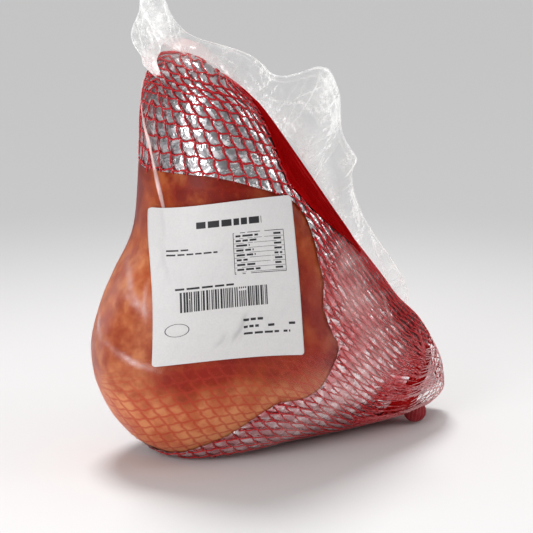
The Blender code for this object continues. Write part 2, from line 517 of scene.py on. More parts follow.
def crinkle_group() -> bpy.types.NodeTree:
    """A group that gives the height of fine crinkles: cell walls bent by noise, over softer cells.

    Returns:
        The group, with inputs Vector and Scale and output Height.
    """
    name = "fine crinkles"
    if name in bpy.data.node_groups:
        return bpy.data.node_groups[name]
    group = bpy.data.node_groups.new(name, "ShaderNodeTree")
    sockets = (("Vector", "INPUT", "Vector"), ("Scale", "INPUT", "Float"), ("Height", "OUTPUT", "Float"))
    for title, way, kind in sockets:
        group.interface.new_socket(title, in_out=way, socket_type="NodeSocket" + kind)
    sheet = NodeSheet(group)
    given = sheet.add("NodeGroupInput").outputs
    scaled = sheet.add("VectorMath", {0: given[0], 3: given[1]}, operation="SCALE").outputs[0]
    stir = sheet.add("TexNoise", {"Vector": scaled, "Scale": 1.6, "Detail": 1.0}).outputs["Color"]
    shift = sheet.add("VectorMath", {0: stir, 3: 0.7}, operation="SCALE").outputs[0]
    bent = sheet.add("VectorMath", {0: scaled, 1: shift}, operation="ADD").outputs[0]
    big, small = (
        sheet.add("TexVoronoi", {"Vector": bent, "Scale": scale}).outputs["Distance"] for scale in (1.0, 2.7)
    )
    sheet.add("NodeGroupOutput", {0: sheet.math("ADD", big, sheet.times(small, 0.45))})
    return group


def new_material(name: str) -> tuple[bpy.types.Material, NodeSheet, bpy.types.Node]:
    """A material with nodes, a sheet to add to, and its Principled shader."""
    material = bpy.data.materials.new(name)
    material.use_nodes = True
    return material, NodeSheet(material.node_tree), material.node_tree.nodes["Principled BSDF"]


@dataclass(frozen=True)
class SkinFinish:
    """Smoked, glazed skin: red-brown above, tan and mottled below, with the weave of the net pressed in."""

    deep: tuple = colour(128, 22, 4)
    warm: tuple = colour(176, 72, 18)
    tan: tuple = colour(226, 150, 100)
    pink: tuple = colour(210, 114, 72)
    weave_red: tuple = colour(196, 60, 42)
    raw: tuple = colour(150, 16, 2)

    def material(self) -> bpy.types.Material:
        """Builds the material from noise on Object coordinates and the mesh's own maps."""
        material, s, shader = new_material("ham skin")
        where = s.where()
        broad, patch, fine = s.noise(where, 26), s.noise(where, 75, 3.0, 0.55), s.noise(where, 420, 3.0, 0.6)
        mixed = s.math("ADD", s.times(broad, 0.6), s.times(patch, 0.4))
        dark = s.blend(s.span(mixed, 0.38, 0.62), self.deep, self.warm)
        light = s.blend(s.span(patch, 0.36, 0.66), self.pink, self.tan)
        uneven = s.times(s.math("SUBTRACT", patch, 0.5), 1.1)
        base = s.blend(s.math("ADD", s.map("tan"), uneven, True), dark, light)
        base = s.blend(s.times(s.map("deep"), s.span(broad, 0.3, 0.6, 0.5, 1.0)), base, self.raw)
        cells = s.add("SeparateXYZ", {0: s.add("UVMap", uv_map="net").outputs[0]}).outputs
        across, along = (
            s.span(s.math("ABSOLUTE", s.math("SUBTRACT", s.math("FRACT", cells[axis]), 0.5)), 0.3, 0.5)
            for axis in (0, 1)
        )
        weave = s.times(s.math("MAXIMUM", across, along), s.map("weave"))
        base = s.blend(s.times(weave, 0.72), base, self.weave_red)
        s.feed(shader, {
            "Base Color": s.blend(s.span(fine, 0.55, 0.8, 0.0, 0.18), base, self.deep),
            "Roughness": s.span(patch, 0.3, 0.7, 0.42, 0.6),
            "Normal": s.bump(s.math("ADD", s.times(fine, 0.12), weave), 0.2, 0.0004),
            "Specular IOR Level": 0.3,
        })
        return material


@dataclass(frozen=True)
class FoilFinish:
    """Crinkled aluminium foil, tinted red where threads crowd over it."""

    bright: tuple = colour(236, 234, 236)
    dull: tuple = colour(186, 184, 188)
    blush: tuple = colour(218, 88, 94)
    crowd: tuple = colour(150, 10, 20)

    def material(self) -> bpy.types.Material:
        """Builds the material: metal with patches of tarnish and two sizes of crinkles in its normal."""
        material, s, shader = new_material("foil")
        where = s.where()
        height = s.math("ADD", s.times(s.crinkles(where, 190), 0.4), s.crinkles(where, 75))
        patch = s.noise(where, 130)
        tint = s.blend(s.span(patch, 0.35, 0.65), self.dull, self.bright)
        tint = s.blend(s.times(s.map("blush"), s.span(patch, 0.74, 0.44)), tint, self.blush)
        s.feed(shader, {
            "Base Color": s.blend(s.map("crowd"), tint, self.crowd),
            "Roughness": s.span(patch, 0.3, 0.7, 0.34, 0.2),
            "Normal": s.bump(height, 0.5, 0.0022),
            "Metallic": 1.0,
        })
        return material


@dataclass(frozen=True)
class NetFinish:
    """Knitted thread, a little shiny, lighter where its fibres stand up, and pale where the mesh's glint map
    paints a highlight on it.
    """

    name: str = "net thread"
    thread: tuple = colour(196, 6, 24)
    light: tuple = colour(236, 74, 88)
    rough: float = 0.36
    shine: float = 0.35
    glint: tuple = colour(250, 226, 226)

    def material(self) -> bpy.types.Material:
        """Builds the material from fine noise on Object coordinates and the mesh's glint map."""
        material, s, shader = new_material(self.name)
        where = s.where()
        fibre, broad = s.noise(where, 1500, 2.0, 0.6), s.noise(where, 60)
        share = s.math("ADD", s.span(fibre, 0.55, 0.75, 0.0, 0.5), s.span(broad, 0.4, 0.7, 0.0, 0.2))
        tint = s.blend(share, self.thread, self.light)
        s.feed(shader, {
            "Base Color": s.blend(s.map("glint"), tint, self.glint),
            "Roughness": self.rough,
            "Normal": s.bump(fibre, 0.5, 0.0003),
            "Specular IOR Level": self.shine,
        })
        return material


@dataclass(frozen=True)
class FilmFinish:
    """Clear film: shiny where it catches light, and milky by the mesh's map of milky film and painted
    highlight. Where milky it gives off a faint painted light.
    """

    name: str
    milk: tuple
    sheen: float
    mirror: float
    painted_glow: float
    crinkle: float
    depth: float
    bend: float = 1.22
    rough: float = 0.16

    def material(self) -> bpy.types.Material:
        """Builds the material: a pale glossy shader that gives off a faint painted light, mixed with a clear
        one.
        """
        material, s, shader = new_material(self.name)
        where = s.where()
        normal = s.bump(s.crinkles(where, self.crinkle), 0.6, self.depth)
        # The emission is painted light: it stands in for light scattered in the milky film.
        s.feed(shader, {
            "Base Color": self.milk, "Emission Color": self.milk, "Emission Strength": self.painted_glow,
            "Metallic": self.mirror, "Roughness": self.rough, "Normal": normal,
        })
        haze_and_highlight = s.times(s.map("haze_and_highlight"), s.span(s.noise(where, 70, 3.0), 0.32, 0.68, 0.55, 1.45))
        fresnel = s.add("Fresnel", {"IOR": self.bend, "Normal": normal}).outputs[0]
        share = s.math("ADD", haze_and_highlight, s.times(fresnel, self.sheen), True)
        clear = s.add("BsdfTransparent")
        mixed = s.add("MixShader", {0: share, 1: clear.outputs[0], 2: shader.outputs[0]})
        s.feed(s.tree.nodes["Material Output"], {"Surface": mixed.outputs[0]})
        return material


@dataclass(frozen=True)
class PaperFinish:
    """Matt label paper, or the ink on it."""

    name: str
    tint: tuple
    rough: float = 0.55

    def material(self) -> bpy.types.Material:
        """Builds the material with a faint grain in colour and height, and painted shade from the mesh's
        slope map, darker on one side of each crease.
        """
        material, s, shader = new_material(self.name)
        grain = s.noise(s.where(), 900.0, 3.0, 0.6)
        tint = s.blend(s.span(grain, 0.3, 0.7), self.tint, dimmed(self.tint, 0.95))
        s.feed(shader, {
            # Painted shade: the slope map darkens the side of each wrinkle that faces away from the light.
            "Base Color": s.blend(s.map("slope"), tint, dimmed(self.tint, 0.5)),
            "Roughness": self.rough,
            "Normal": s.bump(grain, 0.15, 0.0002),
        })
        return material


def hand_over(
    piece: bpy.types.Object, material: bpy.types.Material, node: str = "bag"
) -> bpy.types.Object:
    """Dresses a piece, lets it ride on the body and hides the CAD node that it stands for.

    Args:
        piece: The finished piece.
        material: What it is made of.
        node: The CAD node that it helps to replace.

    Returns:
        The piece.
    """
    piece.data.materials.append(material)
    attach(piece, "root")
    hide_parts(node)
    LOG.info("%s: %d faces", piece.name, len(piece.data.polygons))
    return piece


# ---- sub-assemblies


@dataclass
class Window:
    """The part of the front that the foil leaves bare, as an outline on the ham's surface."""

    outline: Rows = (
        (0.290, -3.72), (0.308, -3.40), (0.307, -2.88), (0.307, -2.43), (0.310, -2.07), (0.320, -1.73),
        (0.335, -1.46), (0.347, -1.29), (0.363, -1.20), (0.384, -1.18), (0.423, -1.19), (0.475, -1.20),
        (0.519, -1.26), (0.565, -1.28), (0.593, -1.28), (0.617, -1.36), (0.640, -1.48), (0.651, -1.56),
        (0.652, -1.66), (0.640, -1.76), (0.641, -1.85), (0.646, -1.97), (0.653, -2.10), (0.659, -2.24),
        (0.664, -2.45), (0.668, -2.75), (0.660, -3.10), (0.640, -3.45), (0.600, -3.78), (0.550, -3.92),
        (0.480, -3.95), (0.400, -3.92), (0.330, -3.86),
    )

    def __post_init__(self) -> None:
        """Lays the outline out flat as a closed smooth line, in millimetres."""
        corners = np.array(self.outline + self.outline[:1]) * (PLACE_MM, ANGLE_MM)
        self.line = smooth_curve(corners, np.linspace(0, 1, 400))

    def distance(self, place: Array, angle: Array) -> Array:
        """How far outside the window points lie, in millimetres, and below 0 inside it.

        The distance is to the nearest stretch of the outline. A point is inside where a line to the right of
        it crosses the outline an odd number of times.
        """
        spots = np.stack([place * PLACE_MM, past_left(angle, -0.6) * ANGLE_MM], -1).reshape(-1, 2)
        a, b = self.line[:-1], self.line[1:]
        along = b - a
        nearest = np.full(len(spots), 1e9)
        inside = np.zeros(len(spots), bool)
        for start, step in zip(a, along):
            rel = spots - start
            share = np.clip(rel @ step / max(step @ step, 1e-9), 0, 1)
            nearest = np.minimum(nearest, np.hypot(*(rel - share[:, None] * step).T))
            stop = start + step
            between = (start[1] > spots[:, 1]) != (stop[1] > spots[:, 1])
            cut = start[0] + (spots[:, 1] - start[1]) * step[0] / (step[1] if abs(step[1]) > 1e-9 else 1e-9)
            inside ^= between & (spots[:, 0] < cut)
        return np.where(inside, -nearest, nearest).reshape(np.shape(place))


@dataclass
class NetPattern:
    """Where the threads of the net run: along the whole numbers of two functions of the surface.

    Above, with d the length from the slope's ridge round the ham and l the way down along the slope, both
    add a logarithm of d, which crowds the threads towards the ridge, to a share of l. Lower on the front they
    turn into two quartics of the unrolled X and Z, and near the gather into rays of equal angle. The back
    keeps the first pair all the way down. Over the shank's top both go on as planes.
    """

    slope_start: tuple[float, float] = (-22.0, 246.0)
    slope_way: tuple[float, float] = (0.622, -0.783)
    steep_cell: float = 10.0
    level_cell: float = 13.0
    steep_share: float = 0.43
    level_share: float = 1.15
    crowd_scale: tuple[float, float] = (88.0, 200.0)
    crowd_arc: float = 88.0
    looseness: tuple[float, float] = (2.0, 34.0)
    low_part: tuple[float, float] = (130.0, 215.0)
    slack: tuple[float, float, float] = (24.0, 160.0, 60.0)
    quartics_from: tuple[float, float] = (40.0, 85.0)
    top_fit: tuple[float, float] = (0.16, 0.30)
    top_share: tuple[float, float] = (0.13, 0.20)
    steep_low: Rows = (
        (-5.14, -11.53, 4.02, -2.21, -0.97), (-15.99, -1.81, 2.06, -2.56),
        (1.61, 3.56, 0.03), (1.96, 2.29), (0.01,),
    )
    level_low: Rows = (
        (10.30, -17.70, 3.03, -1.49, -2.06), (-13.46, -5.82, 0.98, -0.89),
        (-3.51, 1.18, 0.73), (3.80, 1.21), (1.42,),
    )
    gather: tuple[float, float] = (0.845, -1.5)
    rays: int = 60
    gather_inner: float = 9.0
    gather_outer: float = 30.0
    gather_clear: tuple[float, float] = (26.0, 45.0)
    bend: float = 0.07

    def unrolled(self, place: Array, angle: Array) -> tuple[Array, Array]:
        """The flat (X, Z) of each point with its ring laid out straight from the ridge, and its arc d."""
        arc = HAM.arc(place, angle)
        rows = smooth_curve(HAM.stations, place)
        outer, inner = rows[..., 0:2], rows[..., 2:4]
        return inner + unit(outer - inner) * arc[..., None], arc

    def down(self, flat: Array) -> Array:
        """How far down along the slope points lie, in millimetres."""
        return (flat - np.array(self.slope_start)) @ np.array(self.slope_way)

    def quartic(self, flat: Array, terms: Rows) -> Array:
        """The sum of terms[i][j] * p^i * q^j, with p and q the flat X and Z in decimetres from (20, 80)."""
        p, q = (flat[..., 0] - 20) / 100, (flat[..., 1] - 80) / 100
        return sum(k * p**i * q**j for i, row in enumerate(terms) for j, k in enumerate(row))

    def functions(self, place: Array, angle: Array) -> tuple[Array, Array]:
        """The two functions whose whole numbers are threads.

        Args:
            place: A grid of places.
            angle: A grid of angles.

        Returns:
            The function of the steep threads and that of the level ones.
        """
        flat, arc = self.unrolled(place, angle)
        down = self.down(flat)
        low = ramp(down, *self.low_part)
        loose = self.looseness[0] + self.looseness[1] * low
        crowd = self.crowd_scale[0] + (self.crowd_scale[1] - self.crowd_scale[0]) * low
        crowd = crowd * np.log((arc + loose) / (self.crowd_arc + loose))
        most, start, soft = self.slack
        slack = down - most * np.logaddexp(0, (down - start) / soft)
        steep = (crowd - self.steep_share * down) / self.steep_cell
        level = (crowd + self.level_share * slack) / self.level_cell
        steep, level = (self.over_the_top(value, place, angle) for value in (steep, level))
        front = wrapped(angle) <= 0
        share = ramp(down, *self.quartics_from) * front
        steep = steep * (1 - share) + self.quartic(flat, self.steep_low) * share
        level = level * (1 - share) + self.quartic(flat, self.level_low) * share
        steep, level = (
            steep + self.bend * np.sin(FULL_TURN * (level + 0.25)),
            level + self.bend * np.sin(FULL_TURN * (steep + 0.1)),
        )
        away = flat - self.point_of_gather()
        reach = np.hypot(away[..., 0], away[..., 1]) + 1e-6
        near = (1 - ramp(reach, self.gather_inner, self.gather_outer)) * front
        ray = np.arctan2(away[..., 1], away[..., 0]) / FULL_TURN * self.rays
        swirl = 2.2 * np.log(reach / 30)
        return steep * (1 - near) + (swirl - ray) * near, level * (1 - near) + (-swirl - ray) * near

    def over_the_top(self, value: Array, place: Array, angle: Array) -> Array:
        """Carries a function on over the shank's top as the plane over (x, z) that fits it best just below.

        The photograph's way to the right, 28 degrees from +X, is x. A grid with too little of the band in it
        keeps its values.

        Args:
            value: The function on the grid.
            place: The grid's places.
            angle: The grid's angles.

        Returns:
            The function with its values above the band of fit replaced.
        """
        points = HAM.point(place, angle) / MM
        x = (0.883 * points[..., 0] + 0.469 * np.abs(points[..., 1]) + 30) / 50
        z = (points[..., 2] - 210) / 50
        terms = np.stack([1 + 0 * x, x, z], -1)
        turned = np.abs(wrapped(angle))
        fit = (place > self.top_fit[0]) & (place < self.top_fit[1]) & (turned > 0.9) & (turned < 2.9)
        if fit.sum() < 30:
            return value
        factors = np.linalg.lstsq(terms[fit], value[fit], rcond=None)[0]
        share = 1 - ramp(place, *self.top_share)
        return value * (1 - share) + (terms @ factors) * share

    def clear_of_gather(self, place: Array, angle: Array) -> Array:
        """Goes from 0 near the gather to 1 well away from it."""
        away = self.unrolled(place, angle)[0] - self.point_of_gather()
        return ramp(np.hypot(away[..., 0], away[..., 1]), *self.gather_clear)

    def point_of_gather(self) -> Array:
        """The flat (X, Z) of the gather."""
        flat, _ = self.unrolled(np.array([[self.gather[0]]]), np.array([[self.gather[1]]]))
        return flat[0, 0]


@dataclass
class MeatAndFoil:
    """The ham's skin, and the foil round it with its window."""

    window: Window
    pattern: NetPattern
    skin_rows: int = 170
    skin_columns: int = 200
    foil_rows: int = 270
    foil_columns: int = 330
    dent: float = 0.35
    crumple: float = 0.4
    pillow: float = 0.7
    hem: float = 0.35
    setback: float = 8.0
    deep_spots: Rows = (
        (0.556, -2.10, 0.022, 0.42, 0.9), (0.600, -1.48, 0.040, 0.20, 0.8), (0.50, -1.32, 0.08, 0.10, 0.6),
        (0.50, -3.3, 0.03, 0.3, 0.4), (0.32, -1.6, 0.012, 0.3, 0.7),
    )

    def recess(self, place: Array, angle: Array) -> Array:
        """How far the meat stays back from the net's loose end, in millimetres."""
        turned = wrapped(angle)
        line = np.interp(turned, (-2.4, -0.7), (0.91, 0.755))
        return self.setback * ramp(place - line, -0.03, 0.07) * (1 - ramp(turned, -0.5, 0.3))

    def build_skin(self) -> bpy.types.Object:
        """The skin: the surface with soft dents, and maps that say where it is tan and where weave shows."""
        rows, columns = self.skin_rows, self.skin_columns
        place, angle = ring_grid(rows, columns)
        base = HAM.point(place, angle)
        dents = swells(base, 0.022, 5) * self.dent
        bare = 1 - ramp(self.window.distance(place, angle), -7, 0)
        lift = Lift.SKIN.value + 1.5 * bare - np.abs(dents) - self.recess(place, angle)
        points = HAM.inner(place, angle, lift).reshape(-1, 3)
        steep, level = self.pattern.functions(place, angle)
        x, z = base[..., 0] / MM, base[..., 2] / MM
        wobble = swells(base, 0.03, 11) * 9
        low = 1 - ramp(z + wobble - 0.10 * (x + 40), 34, 62)
        left = 1 - ramp(x + wobble, -86, -66)
        tan = np.clip(low + 0.55 * left, 0, 1)
        weave = 0.16 + 0.84 * (1 - ramp(z + wobble, 38, 78))
        points, faces = close_ends(points, grid_faces(rows, columns, wrap=True), columns)
        nets = np.vstack([np.stack([steep, level], -1).reshape(-1, 2), np.zeros((2, 2))])
        maps = {"tan": tan, "weave": weave, "deep": soft_spots(place, past_left(angle), self.deep_spots)}
        return add_mesh("ham_skin", points, faces, with_pole_values(maps), {"net": nets})

    def build_foil(self) -> bpy.types.Object:
        """The foil: the surface crumpled by creases, cut along the window with its edge on the line."""
        rows, columns = self.foil_rows, self.foil_columns
        place, angle = ring_grid(rows, columns)
        outside = self.window.distance(place, angle)
        step, reach = 1e-3, 1.1
        for _ in range(2):
            near = np.abs(outside) < reach
            slope_u = (self.window.distance(place + step, angle) - outside) / step
            slope_t = (self.window.distance(place, angle + step) - outside) / step
            size = (slope_u / PLACE_MM) ** 2 + (slope_t / ANGLE_MM) ** 2
            move = np.where(near, outside / np.maximum(size, 0.3), 0)
            place = place - move * slope_u / PLACE_MM**2
            angle = angle - move * slope_t / ANGLE_MM**2
            outside = self.window.distance(place, angle)
        base = HAM.point(place, angle)
        relief = creases(base, 0.013, 3) * 0.6 + creases(base, 0.0055, 4) * 0.4
        steep, level = self.pattern.functions(place, angle)
        pillow = np.abs(np.sin(math.pi * steep) * np.sin(math.pi * level)) * self.pillow
        pillow = pillow * self.pattern.clear_of_gather(place, angle)
        hem = self.hem * (1 - ramp(outside, 0.0, 5.0)) * (1 - 0.8 * ramp(place, 0.33, 0.37))
        lift = Lift.FOIL.value + hem + self.crumple * relief * ramp(outside, 0.2, 5) + pillow
        lift = np.minimum(lift, -0.75) - self.recess(place, angle)
        points = HAM.inner(place, angle, lift).reshape(-1, 3)
        faces = grid_faces(rows, columns, wrap=True)
        keep = (outside.ravel()[faces] > -0.35).all(axis=1)
        points, faces = close_ends(points, faces[keep], columns)
        front = wrapped(angle) < 0
        blush = (0.80 - 0.42 * ramp(place, 0.60, 0.70)) * ramp(place, 0.36, 0.50) * front
        blush = blush + 0.5 * (1 - self.pattern.clear_of_gather(place, angle))
        maps = {"blush": blush, "crowd": self.crowd(place, angle)}
        return add_mesh("foil_wrap", points, faces, with_pole_values(maps))

    def crowd(self, place: Array, angle: Array) -> Array:
        """Where crowded threads hide the foil and tint it red: right of a line down the right slope."""
        turned = wrapped(angle)
        line = np.interp(place, (0.565, 0.605, 0.645, 0.70, 0.74), (-0.62, -0.67, -0.80, -0.97, -1.02))
        along = ramp(place, 0.54, 0.59) * (1 - ramp(place, 0.74, 0.79))
        return 0.85 * ramp(turned - line, 0.0, 0.14) * (1 - ramp(turned, 0.2, 0.5)) * along

    def build(self) -> None:
        """Builds and dresses both."""
        hand_over(self.build_skin(), SkinFinish().material())
        hand_over(self.build_foil(), FoilFinish().material())


@dataclass
class KnittedNet:
    """The net's threads and their crossings over the foil, and its gathered end."""

    window: Window
    pattern: NetPattern
    rows: int = 200
    columns: int = 230
    thread: float = 0.52
    thinner: float = 0.06
    sides: int = 5
    crossing: float = 1.35
    bead_sides: int = 6
    least_gap: float = 2.9
    most_jump: float = 0.9

    def surface(self) -> dict[str, Array]:
        """The grid that the threads are read from, with its slopes by row and column number."""
        place, angle = np.meshgrid(
            np.linspace(0.004, 0.995, self.rows), np.linspace(-math.pi, math.pi, self.columns), indexing="ij"
        )
        base = HAM.point(place, angle)
        lift = Lift.NET.value + 0.15 * swells(base, 0.02, 21)
        points = HAM.inner(place, angle, lift)
        return {
            "place": place, "angle": angle, "points": points, "normals": HAM.normal(place, angle),
            "outside": self.window.distance(place, angle), "radius": self.radius(place, angle),
        }

    def radius(self, place: Array, angle: Array) -> Array:
        """Half the thickness of the thread, in millimetres: less where the net is stretched, lower down."""
        down = self.pattern.down(self.pattern.unrolled(place, angle)[0])
        front = wrapped(angle) <= 0
        return self.thread - self.thinner * ramp(down, 60, 150) * front

    def threads(self, grid: dict[str, Array], value: Array, keep: Array) -> tuple[Array, Array]:
        """Round threads along the whole numbers of a function on the grid.

        The function crosses a whole number on an edge of the grid where its floor differs at the two ends.
        Each crossing gets one ring of vertices, square to the thread there, and the two crossings of a cell
        are joined by a sleeve.

        Args:
            grid: What surface() gave.
            value: The function on the grid.
            keep: Which cells carry threads.

        Returns:
            The vertices and the faces.
        """
        points, normals = grid["points"], grid["normals"]
        p_row, p_col = np.gradient(points, axis=0), np.gradient(points, axis=1)
        v_row, v_col = np.gradient(value, axis=0), np.gradient(value, axis=1)
        way = -v_col[..., None] * p_row + v_row[..., None] * p_col
        area = np.linalg.norm(np.cross(p_row, p_col), axis=-1) / MM**2
        spacing = area / np.maximum(np.linalg.norm(way, axis=-1) / MM, 1e-6)
        each = np.where(spacing > self.least_gap, 1, np.where(spacing > self.least_gap / 2, 2, 4))
        rings, numbers = [], {}
        count = 0
        for name, axis in (("down", 0), ("side", 1)):
            low = np.take(value, np.arange(value.shape[axis] - 1), axis)
            high = np.take(value, np.arange(1, value.shape[axis]), axis)
            jump = high - low
            level = np.maximum(np.floor(low), np.floor(high))
            cell = np.take(each, np.arange(value.shape[axis] - 1), axis)
            cross = (np.floor(low) != np.floor(high)) & (np.abs(jump) < self.most_jump)
            cross &= np.mod(level, cell) == 0
            share = np.where(cross, (level - low) / np.where(np.abs(jump) < 1e-9, 1, jump), 0)
            spots = np.argwhere(cross)
            number = np.full(cross.shape, -1)
            number[tuple(spots.T)] = count + np.arange(len(spots))
            count += len(spots)
            numbers[name] = number
            after = spots + np.eye(2, dtype=int)[axis]
            part = share[tuple(spots.T)][:, None]
            mix = [
                q[tuple(spots.T)] * (1 - part) + q[tuple(after.T)] * part
                for q in (points, normals, way, grid["radius"][..., None])
            ]
            rings.append(mix)
        centre, up, ahead, radius = (np.vstack([rings[0][k], rings[1][k]]) for k in range(4))
        up, ahead = unit(up), unit(ahead)
        side = unit(np.cross(up, ahead))
        ring = spokes(up, side, once_round(self.sides))
        vertices = (centre[:, None] + ring * radius[:, None] * MM).reshape(-1, 3)
        top, bottom = numbers["side"][:-1], numbers["side"][1:]
        left, right = numbers["down"][:, :-1], numbers["down"][:, 1:]
        edges = np.stack([top, right, bottom, left], -1)
        found = (edges >= 0).sum(-1)
        cells = np.argwhere((found == 2) & keep[:-1, :-1])
        four = edges[tuple(cells.T)]
        order = np.argsort(four < 0, axis=1, kind="stable")[:, :2]
        pairs = np.take_along_axis(four, order, 1)
        double = edges[tuple(np.argwhere((found == 4) & keep[:-1, :-1]).T)]
        pairs = np.vstack([pairs, double[:, [0, 1]], double[:, [2, 3]]])
        forward = np.einsum("ij,ij->i", centre[pairs[:, 1]] - centre[pairs[:, 0]], ahead[pairs[:, 0]]) > 0
        pairs = np.where(forward[:, None], pairs, pairs[:, ::-1])
        k = np.arange(self.sides)
        after = (k + 1) % self.sides
        a, b = pairs[:, :1] * self.sides, pairs[:, 1:] * self.sides
        faces = np.stack([a + k, b + k, b + after, a + after], -1).reshape(-1, 4)
        used = np.unique(faces)
        new = np.full(len(vertices), -1)
        new[used] = np.arange(len(used))
        return vertices[used], new[faces][:, ::-1]

    def crossings(
        self, grid: dict[str, Array], steep: Array, level: Array, keep: Array
    ) -> tuple[Array, Array, Array]:
        """A small flat bead on each crossing of two threads, with a painted highlight on its top, where the
        film is drawn over it.

        In a cell, both functions are taken as linear, and the crossing is where both reach a whole number.

        Args:
            grid: What surface() gave.
            steep: The steep threads' function on the grid.
            level: The level threads' function on the grid.
            keep: Which cells carry beads.

        Returns:
            The vertices, the faces and the vertices' glint.
        """
        here = (slice(None, -1), slice(None, -1))
        down, side = (slice(1, None), slice(None, -1)), (slice(None, -1), slice(1, None))
        p, q = steep[here], level[here]
        pd, ps = steep[down] - p, steep[side] - p
        qd, qs = level[down] - q, level[side] - q
        area = pd * qs - ps * qd
        area = np.where(np.abs(area) < 1e-9, 1e-9, area)
        spots = []
        for dp in (0, 1):
            for dq in (0, 1):
                mp, mq = np.floor(p) + dp - p, np.floor(q) + dq - q
                a, b = (mp * qs - mq * ps) / area, (pd * mq - qd * mp) / area
                hit = (a >= 0) & (a < 1) & (b >= 0) & (b < 1) & keep[here]
                hit &= np.max(np.abs([pd, ps, qd, qs]), axis=0) < self.most_jump
                cell = np.argwhere(hit)
                spots.append(cell + np.stack([a[hit], b[hit]], -1))
        spots = np.vstack(spots)
        cell = np.floor(spots).astype(int)
        part = spots - cell
        centre = sum(
            grid["points"][cell[:, 0] + i, cell[:, 1] + j]
            * (part[:, :1] if i else 1 - part[:, :1]) * (part[:, 1:] if j else 1 - part[:, 1:])
            for i in (0, 1) for j in (0, 1)
        )
        up = grid["normals"][cell[:, 0], cell[:, 1]]
        across = unit(np.cross(up, [0.3, 0.2, 0.93]))
        third = np.cross(up, across)
        sides = self.bead_sides
        rim = spokes(across, third, once_round(sides))
        size = self.crossing * grid["radius"][cell[:, 0], cell[:, 1]][:, None, None] * MM
        ring = centre[:, None] + rim * size * 1.15
        top = centre[:, None] + rim * size * 0.6 + up[:, None] * size * 0.75
        peak = centre[:, None] + up[:, None] * size * 0.95
        vertices = np.concatenate([ring, top, peak], axis=1)
        k, tip = np.arange(sides), np.full(sides, 2 * sides)
        after = (k + 1) % sides
        walls = np.stack([k, after, sides + after, sides + k], -1)
        lid = np.stack([sides + k, sides + after, tip, tip], -1)
        faces = copies(np.vstack([walls, lid]), len(spots), 2 * sides + 1)
        # Painted highlight: a random share of the beads get a pale glint on their tip and round it.
        glint = np.zeros(vertices.shape[:2])
        bright = np.random.default_rng(9).uniform(-0.5, 1.0, len(spots)).clip(0, 0.85)
        glint[:, 2 * sides], glint[:, sides : 2 * sides] = bright, bright[:, None] * 0.35
        return vertices.reshape(-1, 3), faces, glint.ravel()

    def build(self) -> None:
        """Builds the threads in two pieces, front and back, each with its crossings, and dresses them."""
        grid = self.surface()
        place, angle = grid["place"], grid["angle"]
        steep, level = self.pattern.functions(place, angle)
        over_foil = grid["outside"] > np.where(place < 0.34, 0.3, -0.6)
        over_foil &= ~BunchedNet().covers(place, angle)
        back = angle > 0.1
        material = NetFinish().material()
        for name, half in (("net_front", ~back), ("net_back", back)):
            keep = over_foil & half
            parts = [self.threads(grid, value, keep) for value in (steep, level)]
            beads = self.crossings(grid, steep, level, keep)
            glint = np.concatenate([np.zeros(len(parts[0][0]) + len(parts[1][0])), beads[2]])
            parts.append(beads)
            vertices = np.vstack([p[0] for p in parts])
            starts = np.cumsum([0] + [len(p[0]) for p in parts[:-1]])
            faces = [tuple(dict.fromkeys(f)) for p, s in zip(parts, starts) for f in (p[1] + s).tolist()]
            hand_over(add_mesh(name, vertices, faces, {"glint": glint}), material)


